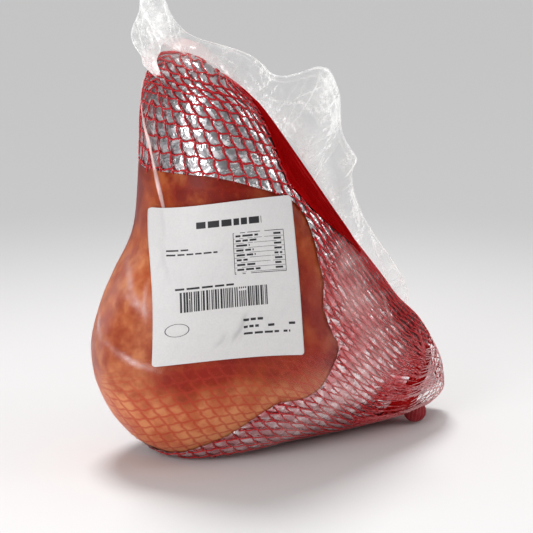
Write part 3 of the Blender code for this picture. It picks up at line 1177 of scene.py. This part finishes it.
@dataclass
class BunchedNet:
    """Places where the net is drawn together: a deep red fold in the inner bend, and the tied gather.

    The gather is a pinched line down the right end, where the strands run together over a deep red hollow.
    Right of it the net stands off in a loose, pale puff.
    """

    bend: Rows = (
        (0.206, -0.80, -0.70), (0.225, -0.88, -0.54), (0.250, -1.00, -0.36), (0.288, -1.13, -0.26),
        (0.324, -1.19, -0.20), (0.350, -1.10, -0.18), (0.375, -0.98, -0.18), (0.400, -0.84, -0.20),
        (0.432, -0.66, -0.36), (0.448, -0.58, -0.46),
    )
    ridge: Rows = (
        (0.12, 0.02, 0.24), (0.24, -0.12, 0.36), (0.40, -0.14, 0.40), (0.60, -0.13, 0.36),
        (0.80, -0.10, 0.26),
    )
    pinch: Rows = (
        (0.742, -0.80, -0.62), (0.768, -1.02, -0.66), (0.796, -1.36, -0.96), (0.824, -1.72, -1.26),
        (0.858, -2.06, -1.60), (0.896, -2.34, -1.98), (0.930, -2.50, -2.36),
    )
    openings: Rows = ((0.30, 0.40), (0.50, 0.74))
    left_ends: Rows = (
        (0.668, -0.42), (0.680, -0.86), (0.696, -1.16), (0.722, -1.44), (0.766, -1.82), (0.822, -2.26),
        (0.880, -2.75),
    )
    right_ends: Rows = (
        (0.790, -0.42), (0.815, -0.56), (0.850, -0.70), (0.900, -0.95), (0.945, -1.35), (0.965, -1.80),
        (0.968, -2.30),
    )
    puff_grid: tuple[int, int] = (90, 150)
    puff_cell: float = 7.5
    puff_size: tuple[float, float] = (400.0, 24.0)
    puff_thread: float = 0.26
    sides: int = 5

    def covers(self, place: Array, angle: Array) -> Array:
        """Whether points lie under the fold or the pinch or right of that, where no thread runs."""
        turned = wrapped(angle)
        found = self.beyond(place, turned)
        for rows in (np.array(self.bend), np.array(self.pinch)):
            low, high = (np.interp(place, rows[:, 0], rows[:, k]) for k in (1, 2))
            within = (place > rows[0, 0]) & (place < rows[-1, 0])
            found |= within & (turned > low - 0.02) & (turned < high + 0.02)
        return found

    def beyond(self, place: Array, angle: Array) -> Array:
        """Whether points of the front lie right of the pinch's middle line."""
        rows = np.array(self.pinch)
        line = np.interp(angle, rows[::-1, 1:].mean(1), rows[::-1, 0], left=0.95, right=0.752)
        return (place > line) & (angle < -0.25)

    def fold(self, name: str, edges: Rows, lift: float, rise: float) -> bpy.types.Object:
        """A lens-shaped fold between two edges, arched by rise times sin, with fine ribs along it.

        Args:
            name: The piece's name.
            edges: Rows of the place, the angle of the one edge and that of the other.
            lift: The edges' lift, in millimetres.
            rise: The arch's height, in millimetres.

        Returns:
            The piece.
        """
        rows, columns = 120, 60
        line = smooth_curve(edges, np.linspace(0, 1, rows))
        across = np.linspace(0, 1, columns)[None]
        place = np.repeat(line[:, :1], columns, 1)
        angle = line[:, 1:2] + (line[:, 2:3] - line[:, 1:2]) * across
        ends = np.sin(math.pi * np.linspace(0.02, 0.98, rows))[:, None] ** 0.4
        ribs = 0.07 * np.sin(across * 44 + 3 * np.sin(np.linspace(0, 9, rows))[:, None])
        height = lift + (rise * np.sin(math.pi * across) + ribs) * ends - 0.9 * (1 - ends)
        return self.walled(name, HAM.inner(place, angle, np.minimum(height, -0.18)))

    def walled(self, name: str, points: Array) -> bpy.types.Object:
        """A piece made of a grid of points, with a thin wall behind it."""
        return add_wall(add_mesh(name, points.reshape(-1, 3), grid_faces(*points.shape[:2])), 0.3)

    def pocket(self) -> bpy.types.Object:
        """The deep red hollow behind the pinch, a shallow trough that the strands leave open in places."""
        rows, columns = 120, 24
        line = smooth_curve(self.pinch, np.linspace(0, 1, rows))
        across = np.linspace(-1, 1, columns)[None]
        middle, half = line[:, 1:].mean(1)[:, None], (line[:, 2:] - line[:, 1:2]) / 2 * 1.5
        place = np.repeat(line[:, :1], columns, 1)
        return self.walled("net_pocket", HAM.lifted(place, middle + half * across, -1.75))

    def cords(self, ends: Rows, count: int, radius: tuple[float, float], lift: float, seed: int) -> Strands:
        """Strands that fan out from the pinch to another line on the surface.

        Args:
            ends: The place and angle of points of the other line, from the pinch's top to its bottom.
            count: How many strands there are.
            radius: The least and greatest half thickness, in millimetres.
            lift: The lift of their middles, in millimetres.
            seed: Which random lengths and starts to take.

        Returns:
            The vertices, the faces and the vertices' glint.
        """
        rng = np.random.default_rng(seed)
        steps = 26
        s = (np.arange(count) + rng.uniform(-0.4, 0.4, count)) / count
        for low, high in self.openings:
            inside = (s > low) & (s < high) & (rng.uniform(size=count) < 0.8)
            edge = np.where(s < (low + high) / 2, low, high) + rng.uniform(-0.02, 0.02, count)
            s = np.where(inside, edge, s)
        pinch = np.array(self.pinch)
        middle = np.column_stack([pinch[:, 0], pinch[:, 1:].mean(1)])
        start = smooth_curve(middle, s) + rng.normal(size=(count, 2)) * (0.002, 0.02)
        stop = smooth_curve(ends, np.clip(s + rng.uniform(-0.05, 0.05, count), 0, 1))
        share = np.linspace(-0.08, 1, steps)[None] * rng.uniform(0.55, 1.0, count)[:, None]
        bow = rng.uniform(-0.05, 0.05, count)[:, None] * np.sin(math.pi * np.clip(share, 0, 1))
        place = start[:, :1] + (stop - start)[:, :1] * share + bow * 0.08
        angle = start[:, 1:] + (stop - start)[:, 1:] * share + bow
        tall = lift + rng.uniform(-0.3, 0.3, count)[:, None]
        tall = tall - 0.9 * bell(share, 0, 0.06) - 0.35 * share**2
        return self.tubes(place, angle, tall, rng.uniform(*radius, count), rng)

    def tubes(
        self, place: Array, angle: Array, lift: Array, radius: Array, rng: np.random.Generator
    ) -> Strands:
        """Round strands along rows of points on the surface.

        Args:
            place: One row of places for each strand.
            angle: The angles there.
            lift: The lifts there, in millimetres.
            radius: Half the thickness of each strand, in millimetres.
            rng: Where the random glints come from.

        Returns:
            The vertices, the faces and the vertices' glint.
        """
        (count, steps), sides = place.shape, self.sides
        centre, up = HAM.inner(place, angle, lift), HAM.normal(place, angle)
        ahead = unit(np.gradient(centre, axis=1))
        side = unit(np.cross(up, ahead))
        turn = once_round(sides)
        ring = spokes(up, side, turn)
        points = (centre[:, :, None] + ring * radius[:, None, None, None] * MM).reshape(-1, 3)
        faces = copies(grid_faces(steps, sides, wrap=True), count, steps * sides)
        # Painted highlight: random pale glints on the side of each strand that faces out.
        glint = rng.uniform(-0.6, 0.6, (count, steps, 1)).clip(0, 1) * (np.cos(turn) > 0.5)
        return points, faces, glint.ravel()

    def bend_cords(self) -> Strands:
        """Strands that run down the fold in the inner bend and gather at both its ends."""
        rng = np.random.default_rng(91)
        count, steps = 54, 90
        rows = np.array(self.bend)
        place = np.linspace(rows[0, 0] - 0.012, rows[-1, 0] + 0.012, steps)[None]
        place = place + rng.uniform(-0.01, 0.01, (count, 1))
        low, high = (np.interp(place, rows[:, 0], rows[:, k]) for k in (1, 2))
        wander = 0.03 * np.sin(place * 60 + np.arange(count)[:, None])
        across = rng.uniform(0.02, 0.98, count)[:, None] + wander
        lift = -0.52 + 0.22 * np.sin(math.pi * np.clip(across, 0, 1))
        return self.tubes(place, low + (high - low) * across, lift, rng.uniform(0.3, 0.42, count), rng)

    def ridge_cords(self) -> Strands:
        """Strands that run down the slope's ridge, bunched behind the fold, with wandering angles."""
        rng = np.random.default_rng(83)
        count, steps = 96, 90
        span = rng.uniform(0.25, 0.62, count)[:, None]
        start = rng.uniform(0.12, 0.66, count)[:, None]
        share = np.linspace(0, 1, steps)[None]
        place = np.minimum(start + span * share, 0.80 + 0.01 * share)
        middle = rng.uniform(-0.10, 0.36, count)[:, None]
        angle = middle + 0.05 * np.sin(place * 19 + middle * 40) + 0.03 * np.sin(place * 47 + middle * 90)
        lift = rng.uniform(-1.0, -0.7, count)[:, None] - 0.5 * ((middle - 0.13) / 0.25) ** 2 + 0 * place
        return self.tubes(place, angle, lift, rng.uniform(0.3, 0.46, count), rng)

    def puff_surface(self) -> dict[str, Array]:
        """The grid that the puff's threads are read from, on the film's inner side."""
        rows, columns = self.puff_grid
        place, angle = np.meshgrid(
            np.linspace(0.74, 0.999, rows), np.linspace(-2.9, -0.1, columns), indexing="ij"
        )
        bulge = 0.25 * swells(HAM.point(place, angle), 0.01, 61)
        return {
            "place": place, "angle": angle, "points": HAM.lifted(place, angle, -0.65 + bulge),
            "normals": HAM.normal(place, angle), "radius": np.full(place.shape, self.puff_thread),
        }

    def puff(self) -> bpy.types.Object:
        """The loose end's own net: two sets of slanting threads, bent a little, right of the pinch."""
        grid = self.puff_surface()
        long, round_it = self.puff_size
        x, y = grid["place"] * long / self.puff_cell, grid["angle"] * round_it / self.puff_cell
        bent = 0.25 * np.sin(x * 1.7 + y)
        keep = self.beyond(grid["place"] - 0.012, grid["angle"])
        net = KnittedNet(Window(), NetPattern())
        (first, faces), (second, more) = (
            net.threads(grid, value, keep) for value in (x + y + bent, x - y - bent)
        )
        return add_mesh("net_puff", np.vstack([first, second]), np.vstack([faces, more + len(first)]))

    def build(self) -> None:
        """Builds and dresses the folds, the pinch and the puff."""
        deep = NetFinish("bunched net", colour(160, 0, 2), colour(206, 8, 14), 0.7, 0.03).material()
        hand_over(self.fold("net_bend", self.bend, -0.55, 0.35), deep)
        hand_over(self.pocket(), deep)
        red = NetFinish("gathered net", colour(196, 10, 28), colour(240, 130, 136)).material()
        hand_over(self.fold("net_ridge_back", self.ridge, -1.7, 0.7), deep)
        gather = self.cords(self.left_ends, 150, (0.26, 0.42), -0.95, 71)
        pale = NetFinish("pale thread", colour(226, 150, 152), colour(250, 226, 226), 0.3, 0.6).material()
        loose = self.cords(self.right_ends, 44, (0.2, 0.34), -0.7, 72)
        # The last value of each row is the share of the painted glints that the piece keeps.
        for name, (points, faces, glint), material, glint_share in (
            ("net_gather", gather, red, 1), ("net_ridge", self.ridge_cords(), red, 1),
            ("net_bend_cords", self.bend_cords(), deep, 0), ("net_puff_cords", loose, pale, 1),
        ):
            hand_over(add_mesh(name, points, faces, {"glint": glint * glint_share}), material)
        hand_over(self.puff(), pale)


@dataclass
class NetKnot:
    """The tied tail of the net below its right end: a bulb of pleats that narrows to its neck."""

    centre: tuple[float, float, float] = (113.0, -21.0, 8.0)
    radii: tuple[float, float, float] = (7.2, 7.0, 7.2)
    pleats: int = 17

    def build(self) -> None:
        """The bulb: an egg whose radius waves with the angle, r = 1 + 0.075 sin(pleats * angle + twist)."""
        rows, columns = 60, 120
        tall = np.linspace(0.01, math.pi - 0.01, rows)[:, None]
        turn = np.linspace(0, FULL_TURN, columns, endpoint=False)[None]
        wave = 1 + 0.075 * np.sin(self.pleats * turn + 2.6 * tall) * np.sin(tall) ** 0.5
        ball = np.stack([
            np.sin(tall) * np.cos(turn) * wave, np.sin(tall) * np.sin(turn) * wave, np.cos(tall) + 0 * turn
        ], -1)
        points = (np.array(self.centre) + ball * np.array(self.radii)) * MM
        points[..., 2] = np.maximum(points[..., 2], 0.8 * MM)
        flat, faces = close_ends(points.reshape(-1, 3), grid_faces(rows, columns, wrap=True), columns)
        piece = add_mesh("net_knot", flat, faces)
        hand_over(piece, NetFinish("knot", colour(150, 26, 34), colour(196, 80, 84)).material())


@dataclass
class FilmBag:
    """The clear bag: tight film round the ham, a loose web above its slope, and a pleat down its left."""

    ribs: Rows = (
        (-62, 239.5, -54, 232), (-72, 248.5, -57, 238), (-75, 254.5, -59, 242), (-80, 261.5, -60, 245),
        (-81, 267.5, -61, 247), (-78, 273.5, -61, 248.5), (-74, 279.5, -60, 249.5), (-73, 285.5, -59.5, 250),
        (-74, 291.5, -59, 250.5), (-70, 298.5, -58, 251), (-62, 293.5, -56.5, 251), (-57, 285.5, -55, 251),
        (-52, 277.5, -52.5, 251), (-44, 268.5, -48, 250.5), (-36, 263.5, -42, 249.5), (-24, 259.5, -33, 246),
        (-12, 255.5, -24, 239), (0, 250.5, -13, 228), (9, 244.5, -5, 216), (18, 237.5, 2, 206),
        (28, 235.5, 9, 197), (38, 237.5, 16, 189), (48, 240.5, 22, 182), (55, 238.5, 28, 176),
        (61, 229.5, 33, 170), (66, 218.5, 38, 164), (68, 207.5, 42, 159), (69, 196.5, 46, 154),
        (74, 185.5, 50, 149), (77, 178.5, 53, 145), (73, 170.5, 56, 141), (75, 159.5, 61, 135),
        (81, 147.5, 67, 127), (88, 135.5, 73, 119), (96, 123.5, 80, 110), (106, 108.5, 88, 99),
        (114, 94.5, 96, 88), (118, 79.5, 101, 76),
    )
    root: float = 0.22
    root_half: float = 8.0
    rim_half: float = 0.55
    wave: float = 3.5
    waves: float = 5.5
    pleat: Rows = (
        (0.190, -3.80), (0.212, -3.66), (0.236, -3.42), (0.267, -3.19), (0.296, -3.05), (0.324, -2.92),
        (0.352, -2.80),
    )
    # Milky patches of the tight film; the three at angles -0.84 to -0.98 are part milky film and part painted
    # highlight.
    haze_and_highlight_spots: Rows = (
        (0.465, -0.84, 0.040, 0.13, 0.14), (0.50, -0.92, 0.06, 0.24, 0.17), (0.58, -0.98, 0.06, 0.22, 0.22),
        (0.66, -1.25, 0.05, 0.35, 0.12), (0.45, -2.61, 0.014, 0.12, 0.14), (0.49, -3.20, 0.12, 0.16, 0.12),
        (0.70, -1.70, 0.03, 0.60, 0.14), (0.93, -1.2, 0.05, 0.9, 0.16), (0.06, -1.6, 0.06, 3.0, 0.14),
        (0.02, -1.6, 0.05, 3.0, 0.25), (0.33, -0.60, 0.09, 0.50, -0.10),
    )
    # Milky lines of the tight film; the two near angle -0.7 are painted highlights.
    haze_and_highlight_streaks: Rows = (
        (0.410, -3.25, 0.462, -2.62, 1.7, 0.34), (0.440, -3.05, 0.452, -2.75, 1.2, 0.26),
        (0.425, -2.78, 0.470, -2.60, 1.3, 0.24), (0.500, -3.05, 0.538, -2.40, 1.5, 0.30),
        (0.512, -2.80, 0.530, -2.55, 1.0, 0.22), (0.470, -3.35, 0.505, -3.10, 1.6, 0.22),
        (0.445, -0.70, 0.560, -0.64, 1.2, 0.30), (0.560, -0.64, 0.650, -0.84, 0.9, 0.34),
    )

    def haze_and_highlight(self, place: Array, angle: Array) -> Array:
        """How milky and pale the tight film is, a sum of soft round patches and of lines on the surface.
        Those on the right slope, near the fold, are partly painted highlights.
        """
        turned, scale = past_left(angle), np.array((PLACE_MM, ANGLE_MM))
        total = soft_spots(place, turned, self.haze_and_highlight_spots)
        flat = np.stack([place, turned], -1) * scale
        for u0, t0, u1, t1, wide, amount in self.haze_and_highlight_streaks:
            start, way = scale * (u0, t0), scale * (u1 - u0, t1 - t0)
            share = np.clip((flat - start) @ way / (way @ way), 0, 1)
            off = np.linalg.norm(flat - start - share[..., None] * way, axis=-1)
            total += amount * bell(off, 0, wide) * np.sin(math.pi * (0.1 + 0.8 * share))
        return total

    def build_tight(self) -> bpy.types.Object:
        """The tight film: the surface itself, with faint swells."""
        rows, columns = 190, 230
        place, angle = ring_grid(rows, columns)
        base = HAM.point(place, angle)
        lift = Lift.FILM.value - 0.12 * np.abs(swells(base, 0.015, 31))
        points = HAM.lifted(place, angle, lift).reshape(-1, 3)
        points, faces = close_ends(points, grid_faces(rows, columns, wrap=True), columns)
        haze_and_highlight = with_pole_values({"haze_and_highlight": self.haze_and_highlight(place, angle)})
        return add_mesh("film_tight", points, faces, haze_and_highlight)

    def build_web(self) -> bpy.types.Object:
        """The web: two sheets from the root to the rim and back, which wave together and crinkle apart."""
        rows, steps = 540, 80
        along = np.linspace(0, 1, rows)
        line = smooth_curve(self.ribs, along)
        out = np.concatenate([np.linspace(self.root, 1, steps), np.linspace(1, self.root, steps)])[None]
        side = np.concatenate([-np.ones(steps), np.ones(steps)])[None]
        flat = line[:, None, 2:4] + (line[:, None, 0:2] - line[:, None, 2:4]) * out[..., None]
        ends = np.sin(math.pi * along)[:, None] ** 0.5
        half = self.rim_half + (self.root_half - self.rim_half) * ends * (1 - out) ** 2
        wave = self.wave * out * np.sin(FULL_TURN * self.waves * along[:, None] + 2 * out)
        spots = np.stack([flat[..., 0], 0 * flat[..., 0], flat[..., 1]], -1) * MM
        gap = ramp(1 - out, 0.0, 0.18)
        folds = creases(spots, 0.016, 41) * 0.9 + creases(spots, 0.007, 42) * 0.5
        own = creases(spots + side[..., None] * 0.5, 0.012, 43) * 0.5 * gap
        lines = hairlines(spots + side[..., None] * 0.3, 0.034, 45, 0.04)
        y = side * half + wave + folds * ramp(out, 0.3, 0.8) * 0.8 + (own * 0.6 + lines * 0.5) * side
        points = np.stack([flat[..., 0], y, flat[..., 1]], -1).reshape(-1, 3) * MM
        place = along[:, None]
        seal = bell(out, 0.60, 0.035) * ramp(place, 0.36, 0.42) * (1 - ramp(place, 0.64, 0.70))
        lip = bell(out, 0.985, 0.012) + 0.5 * bell(out, 0.90, 0.012)
        # Painted highlight: the crumple near place 0.645 is made milky where it catches the light.
        crumple_highlight = bell(place, 0.645, 0.026) * ramp(out, 0.5, 0.8)
        bump = bell(place, 0.765, 0.012) * ramp(out, 0.6, 0.85)
        neck = 1 - ramp(place, 0.30, 0.36)
        dots = ramp(creases(spots, 0.0032, 44), -0.1, 0.6)
        haze_and_highlight = 0.06 + 0.55 * seal * dots + 0.45 * lip + (0.75 * crumple_highlight + 0.6 * bump) * (0.35 + 0.65 * dots)
        haze_and_highlight = haze_and_highlight + 0.42 * lines + 0.46 * neck * (0.4 + 0.6 * dots) + 0.12 * np.clip(folds, 0, 1)
        haze_and_highlight = haze_and_highlight + 0.30 * (1 - ramp(out, 0.28, 0.60))
        return add_mesh("film_web", points, grid_faces(rows, 2 * steps), {"haze_and_highlight": haze_and_highlight})

    def build_pleat(self) -> bpy.types.Object:
        """The pleat: a low ridge along its line, h = sin(pi q), that fades at both ends."""
        rows, columns = 90, 13
        line = smooth_curve(self.pleat, np.linspace(0, 1, rows))
        across = np.linspace(-1, 1, columns)[None]
        width = 3.0 / ANGLE_MM * (0.8 + 0.2 * np.sin(np.linspace(0, 17, rows)))[:, None]
        place = np.repeat(line[:, :1], columns, 1)
        angle = line[:, 1:2] + across * width
        height = Lift.FILM.value + 0.08 - 0.35 * across**2
        points = HAM.lifted(place, angle, height + 0 * angle).reshape(-1, 3)
        haze_and_highlight = 0.84 * (1 - across**4) + 0 * angle
        return add_mesh("film_pleat", points, grid_faces(rows, columns), {"haze_and_highlight": haze_and_highlight})

    def build(self) -> None:
        """Builds and dresses the film."""
        tight = FilmFinish(
            "tight film", colour(252, 218, 214), sheen=0.08, mirror=0.15, painted_glow=0.2, crinkle=45, depth=0.0008
        ).material()
        loose = FilmFinish(
            "loose film", colour(246, 247, 246), sheen=0.6, mirror=0.3, painted_glow=0.3, crinkle=110, depth=0.0014,
            bend=1.3, rough=0.2,
        ).material()
        hand_over(self.build_tight(), tight)
        hand_over(self.build_web(), loose)
        hand_over(self.build_pleat(), tight)


@dataclass
class PaperLabel:
    """The label: paper on the film, wrinkled, with plain bars and rules for its print."""

    turn: float = math.radians(16)
    top: tuple = ((-68.2, 161.8), (14.8, 170.7))
    bottom: tuple = ((-73.4, 70.6), (22.6, 70.8))
    bow: float = 3.6
    corner: float = 0.05
    cells: int = 120
    creases_at: Rows = (
        (0.02, -0.84, 0.26, -0.42, 1.0), (-0.22, -0.88, -0.02, -0.66, 0.6), (0.60, -0.75, 0.42, -0.42, 0.4),
        (-0.10, 0.30, -0.02, 0.55, 0.2), (-0.62, 0.15, -0.55, -0.25, 0.2), (0.78, 0.25, 0.66, 0.62, 0.25),
        (-0.86, 0.62, -0.70, -0.10, 0.4), (0.05, -0.15, 0.35, -0.05, 0.15),
    )
    lines: Rows = (
        (-0.42, 0.50, 0.74, 0.042), (-0.80, -0.52, 0.44, 0.010), (-0.80, -0.14, 0.385, 0.010),
        (-0.72, 0.06, -0.035, 0.012), (0.16, 0.44, -0.50, 0.016), (0.16, 0.38, -0.59, 0.016),
        (0.50, 0.60, -0.59, 0.016), (0.80, 0.90, -0.58, 0.016), (0.16, 0.66, -0.68, 0.014),
        (0.72, 0.82, -0.68, 0.014),
    )

    def spot(self, x: Array, y: Array, lift: Array | float) -> Array:
        """Points of the label's face, with wrinkles, at x to the right and y up, both from -1 to 1.

        The plane of the label is seen along its normal, and the ham's surface behind it carries the paper.
        """
        high, low = (1 + y[..., None]) / 2, (1 - y[..., None]) / 2
        left, right = (np.array(t) * high + np.array(b) * low for t, b in zip(self.top, self.bottom))
        flat = left + (right - left) * (1 + x[..., None]) / 2
        flat[..., 1] += self.bow * (1 - x**2)
        down, over = (1 - y) / 2, (1 + x) / 2
        place = 0.340 + down * (0.2 + 0.03 * over)
        angle = (-2.9 + 1.6 * over) * (1 - down) + (-2.4 + 0.9 * over) * down
        place, angle = HAM.seen_along(flat[..., 0], flat[..., 1], self.turn, place, angle)
        return HAM.lifted(place, angle, lift + self.wrinkles(x, y))

    def wrinkles(self, x: Array, y: Array) -> Array:
        """Relief of the paper in millimetres: soft swells, long creases, and the film's pleat below it."""
        flat = np.stack([x, y, 0 * x], -1) * 0.048
        total = 0.08 * swells(flat, 0.012, 51) + 0.08 * creases(flat, 0.009, 52)
        for x0, y0, x1, y1, tall in self.creases_at:
            way = np.array([x1 - x0, y1 - y0])
            length = math.hypot(*way)
            rel = np.stack([x - x0, y - y0], -1)
            share = rel @ way / length**2
            off = (rel[..., 0] * way[1] - rel[..., 1] * way[0]) / length
            fade = np.exp(-(((share - 0.5) / 0.42) ** 4))
            total = total + tall * fade * bell(off + 0.01 * np.sin(share * 9), 0, 0.045)
        ridge = x - (-0.82 + 0.10 * (1 - y))
        return total + 0.28 * bell(ridge, 0, 0.035) * ramp(y, -0.2, 0.9)

    def build_paper(self) -> bpy.types.Object:
        """The sheet: a grid whose rows shorten at the rounded corners, with a wall behind it."""
        round_off = 1 - self.corner * (1 - np.sin(np.linspace(0, math.pi / 2, 7)))
        straight = np.linspace(-1 + self.corner, 1 - self.corner, self.cells)[1:-1]
        rows = np.concatenate([-round_off[::-1], straight, round_off])
        deep = np.maximum(np.abs(rows) - (1 - self.corner), 0)
        half = 1 - self.corner + np.sqrt(np.maximum(self.corner**2 - deep**2, 0))
        x = np.linspace(-1, 1, self.cells)[None] * half[:, None]
        y = np.repeat(rows[::-1, None], self.cells, 1)
        points = self.spot(x, y, Lift.LABEL.value).reshape(-1, 3)
        uv = np.stack([(1 + x) / 2, (1 + y) / 2], -1).reshape(-1, 2)
        relief = self.wrinkles(x, y)
        # The relief's slope one way becomes painted shade on one side of each crease.
        slope = np.gradient(relief, axis=1) + np.gradient(relief, axis=0)
        fields = {"slope": np.clip(slope * 1.6, 0, 0.6)}
        piece = add_mesh("label_paper", points, grid_faces(len(rows), self.cells), fields, {"UVMap": uv})
        return add_wall(piece, 0.25)

    def bars(self) -> list[tuple[float, float, float, float]]:
        """The print: centre and half size of each bar, from -1 to 1, for lines, stripes and a ruled table."""
        rng = np.random.default_rng(7)
        bars: list[tuple[float, float, float, float]] = []

        def words(left: float, right: float, y: float, tall: float) -> None:
            """A line of print as a row of short bars."""
            x = left
            while x < right:
                wide = min(rng.uniform(0.03, 0.09), (right - x) / 2)
                bars.append((x + wide, y, wide * 0.92, tall))
                x += 2 * wide + 0.018

        for line in self.lines:
            words(*line)
        x = -0.66
        while x < 0.52:
            wide = rng.choice([0.005, 0.008, 0.013])
            bars.append((x + wide, -0.20, wide, 0.125))
            x += 2 * wide + rng.choice([0.008, 0.012, 0.02])
        for edge in (0.08, 0.82):
            bars.append((edge, 0.34, 0.004, 0.255))
        for y in (0.595, 0.085):
            bars.append((0.45, y, 0.37, 0.004))
        for row in range(8):
            y = 0.555 - row * 0.06
            bars.append((0.45, y - 0.032, 0.37, 0.0022))
            words(0.11, 0.11 + rng.uniform(0.15, 0.42), y, 0.012)
            words(0.66, 0.78, y, 0.012)
        return bars

    def build_print(self) -> bpy.types.Object:
        """The print as thin flat pieces that follow the paper just above it, and an oval ring."""
        bars = np.array(self.bars())
        nx, ny = 7, 5
        sx, sy = np.linspace(-1, 1, nx)[None, None], np.linspace(1, -1, ny)[None, :, None]
        x = bars[:, 0, None, None] + bars[:, 2, None, None] * sx + 0 * sy
        y = bars[:, 1, None, None] + bars[:, 3, None, None] * sy + 0 * sx
        turn = np.linspace(0, FULL_TURN, 65)[None]
        ring = np.array([1.0, 0.93])[:, None]
        ox, oy = -0.70 + 0.155 * np.cos(turn) * ring, -0.545 + 0.085 * np.sin(turn) * ring
        all_x = np.concatenate([x.ravel(), ox.ravel()])
        all_y = np.concatenate([y.ravel(), oy.ravel()])
        points = self.spot(all_x[None], all_y[None], Lift.PRINT.value)[0]
        faces = copies(grid_faces(ny, nx), len(bars), nx * ny)
        oval = grid_faces(2, 65, start=len(bars) * nx * ny)[:, ::-1]
        return add_mesh("label_print", points, np.vstack([faces, oval]))

    def build(self) -> None:
        """Builds and dresses the label."""
        paper = PaperFinish("label paper", colour(238, 236, 236)).material()
        ink = PaperFinish("label ink", colour(42, 42, 46), 0.5).material()
        hand_over(self.build_paper(), paper, "label")
        hand_over(self.build_print(), ink, "label")


@dataclass
class Studio:
    """The camera at the photograph's angle, soft lights, a wide pale floor, and a plain grey sky behind."""

    azimuth: float = -28.0
    elevation: float = 12.5
    distance: float = 1.25
    look: tuple[float, float, float] = (0.012, 0.0, 0.128)
    pixel: float = 0.64 * MM
    frame_pixels: float = 533.0
    drop: float = 21.5
    horizon: float = 0.15
    zenith: float = 0.5
    soft_lights: tuple = (("key light", -62, 20, 1.2, 0.6, 5.0), ("side light", 62, 20, 1.3, 0.5, 2.2))
    back_light: tuple[float, float, float, float] = (168, 64, 0.35, 2.2)
    floor_half: float = 14.0
    # Painted fall-off of light: the floor's colour darkens from near to far.
    floor_near: tuple = (0.77, 0.76, 0.76, 1)
    floor_far: tuple = (0.53, 0.528, 0.53, 1)
    floor_fade: tuple[float, float] = (0.22, 0.80)

    def hang(
        self, name: str, data: bpy.types.ID, azimuth: float, elevation: float, distance: float
    ) -> bpy.types.Object:
        """Puts a camera or a light at these angles and this distance from the look point, facing it."""
        a, e = math.radians(azimuth), math.radians(elevation)
        back = Vector((math.sin(a) * math.cos(e), -math.cos(a) * math.cos(e), math.sin(e)))
        thing = bpy.data.objects.new(name, data)
        thing.location = Vector(self.look) + back * distance
        thing.rotation_euler = (-back).to_track_quat("-Z", "Y").to_euler()
        bpy.context.scene.collection.objects.link(thing)
        return thing

    def camera(self) -> None:
        """The camera, with a lens that gives the photograph's scale at the look point."""
        data = bpy.data.cameras.new("camera")
        data.sensor_width = 36
        data.lens = self.distance / self.pixel * data.sensor_width / self.frame_pixels
        data.shift_y = -self.drop / self.frame_pixels
        data.clip_start, data.clip_end = 0.05, 20
        bpy.context.scene.camera = self.hang("camera", data, self.azimuth, self.elevation, self.distance)

    def lights(self) -> None:
        """Two square soft lights in front, and a wide one far behind, which lights the whole floor alike."""
        for name, azimuth, elevation, distance, size, power in self.soft_lights:
            data = bpy.data.lights.new(name, "AREA")
            data.size, data.energy = size, power
            self.hang(name, data, azimuth, elevation, distance)
        data = bpy.data.lights.new("back light", "SUN")
        azimuth, elevation, data.angle, data.energy = self.back_light
        self.hang("back light", data, azimuth, elevation, 2.0)

    def floor(self) -> None:
        """A wide pale sheet at the height that the ham stands on, darker a little way off: painted fall-off
        of the studio light.
        """
        size = self.floor_half
        points = np.array([[-size, -size, 0], [size, -size, 0], [size, size, 0], [-size, size, 0]])
        sheet = add_mesh("studio_floor", points, [[0, 1, 2, 3]])
        material, s, shader = new_material("studio floor")
        away = s.add("VectorMath", {0: s.where()}, operation="LENGTH").outputs["Value"]
        tint = s.blend(s.span(away, *self.floor_fade), self.floor_near, self.floor_far)
        s.feed(shader, {"Base Color": tint, "Roughness": 0.9, "Specular IOR Level": 0.05})
        sheet.data.materials.append(material)

    def sky(self) -> None:
        """A plain sky, brighter from the horizon up."""
        world = bpy.data.worlds.new("studio")
        world.use_nodes = True
        s = NodeSheet(world.node_tree)
        height = s.add("SeparateXYZ", {0: s.add("TexCoord").outputs["Generated"]}).outputs["Z"]
        strength = s.span(height, 0.05, 0.85, self.horizon, self.zenith)
        s.feed(world.node_tree.nodes["Background"], {"Color": (1.0, 0.995, 0.995, 1), "Strength": strength})
        bpy.context.scene.world = world

    def build(self) -> None:
        """Builds the studio."""
        self.camera()
        self.floor()
        self.lights()
        self.sky()
        bpy.context.scene.view_settings.view_transform = "Standard"


def main() -> None:
    """Builds every layer from the inside out, then the studio."""
    logging.basicConfig(level=logging.INFO)
    window, pattern = Window(), NetPattern()
    for part in (
        MeatAndFoil(window, pattern), KnittedNet(window, pattern), BunchedNet(), NetKnot(), FilmBag(),
        PaperLabel(), Studio(),
    ):
        LOG.info("building %s", type(part).__name__)
        part.build()


if __name__ == "__main__":
    main()
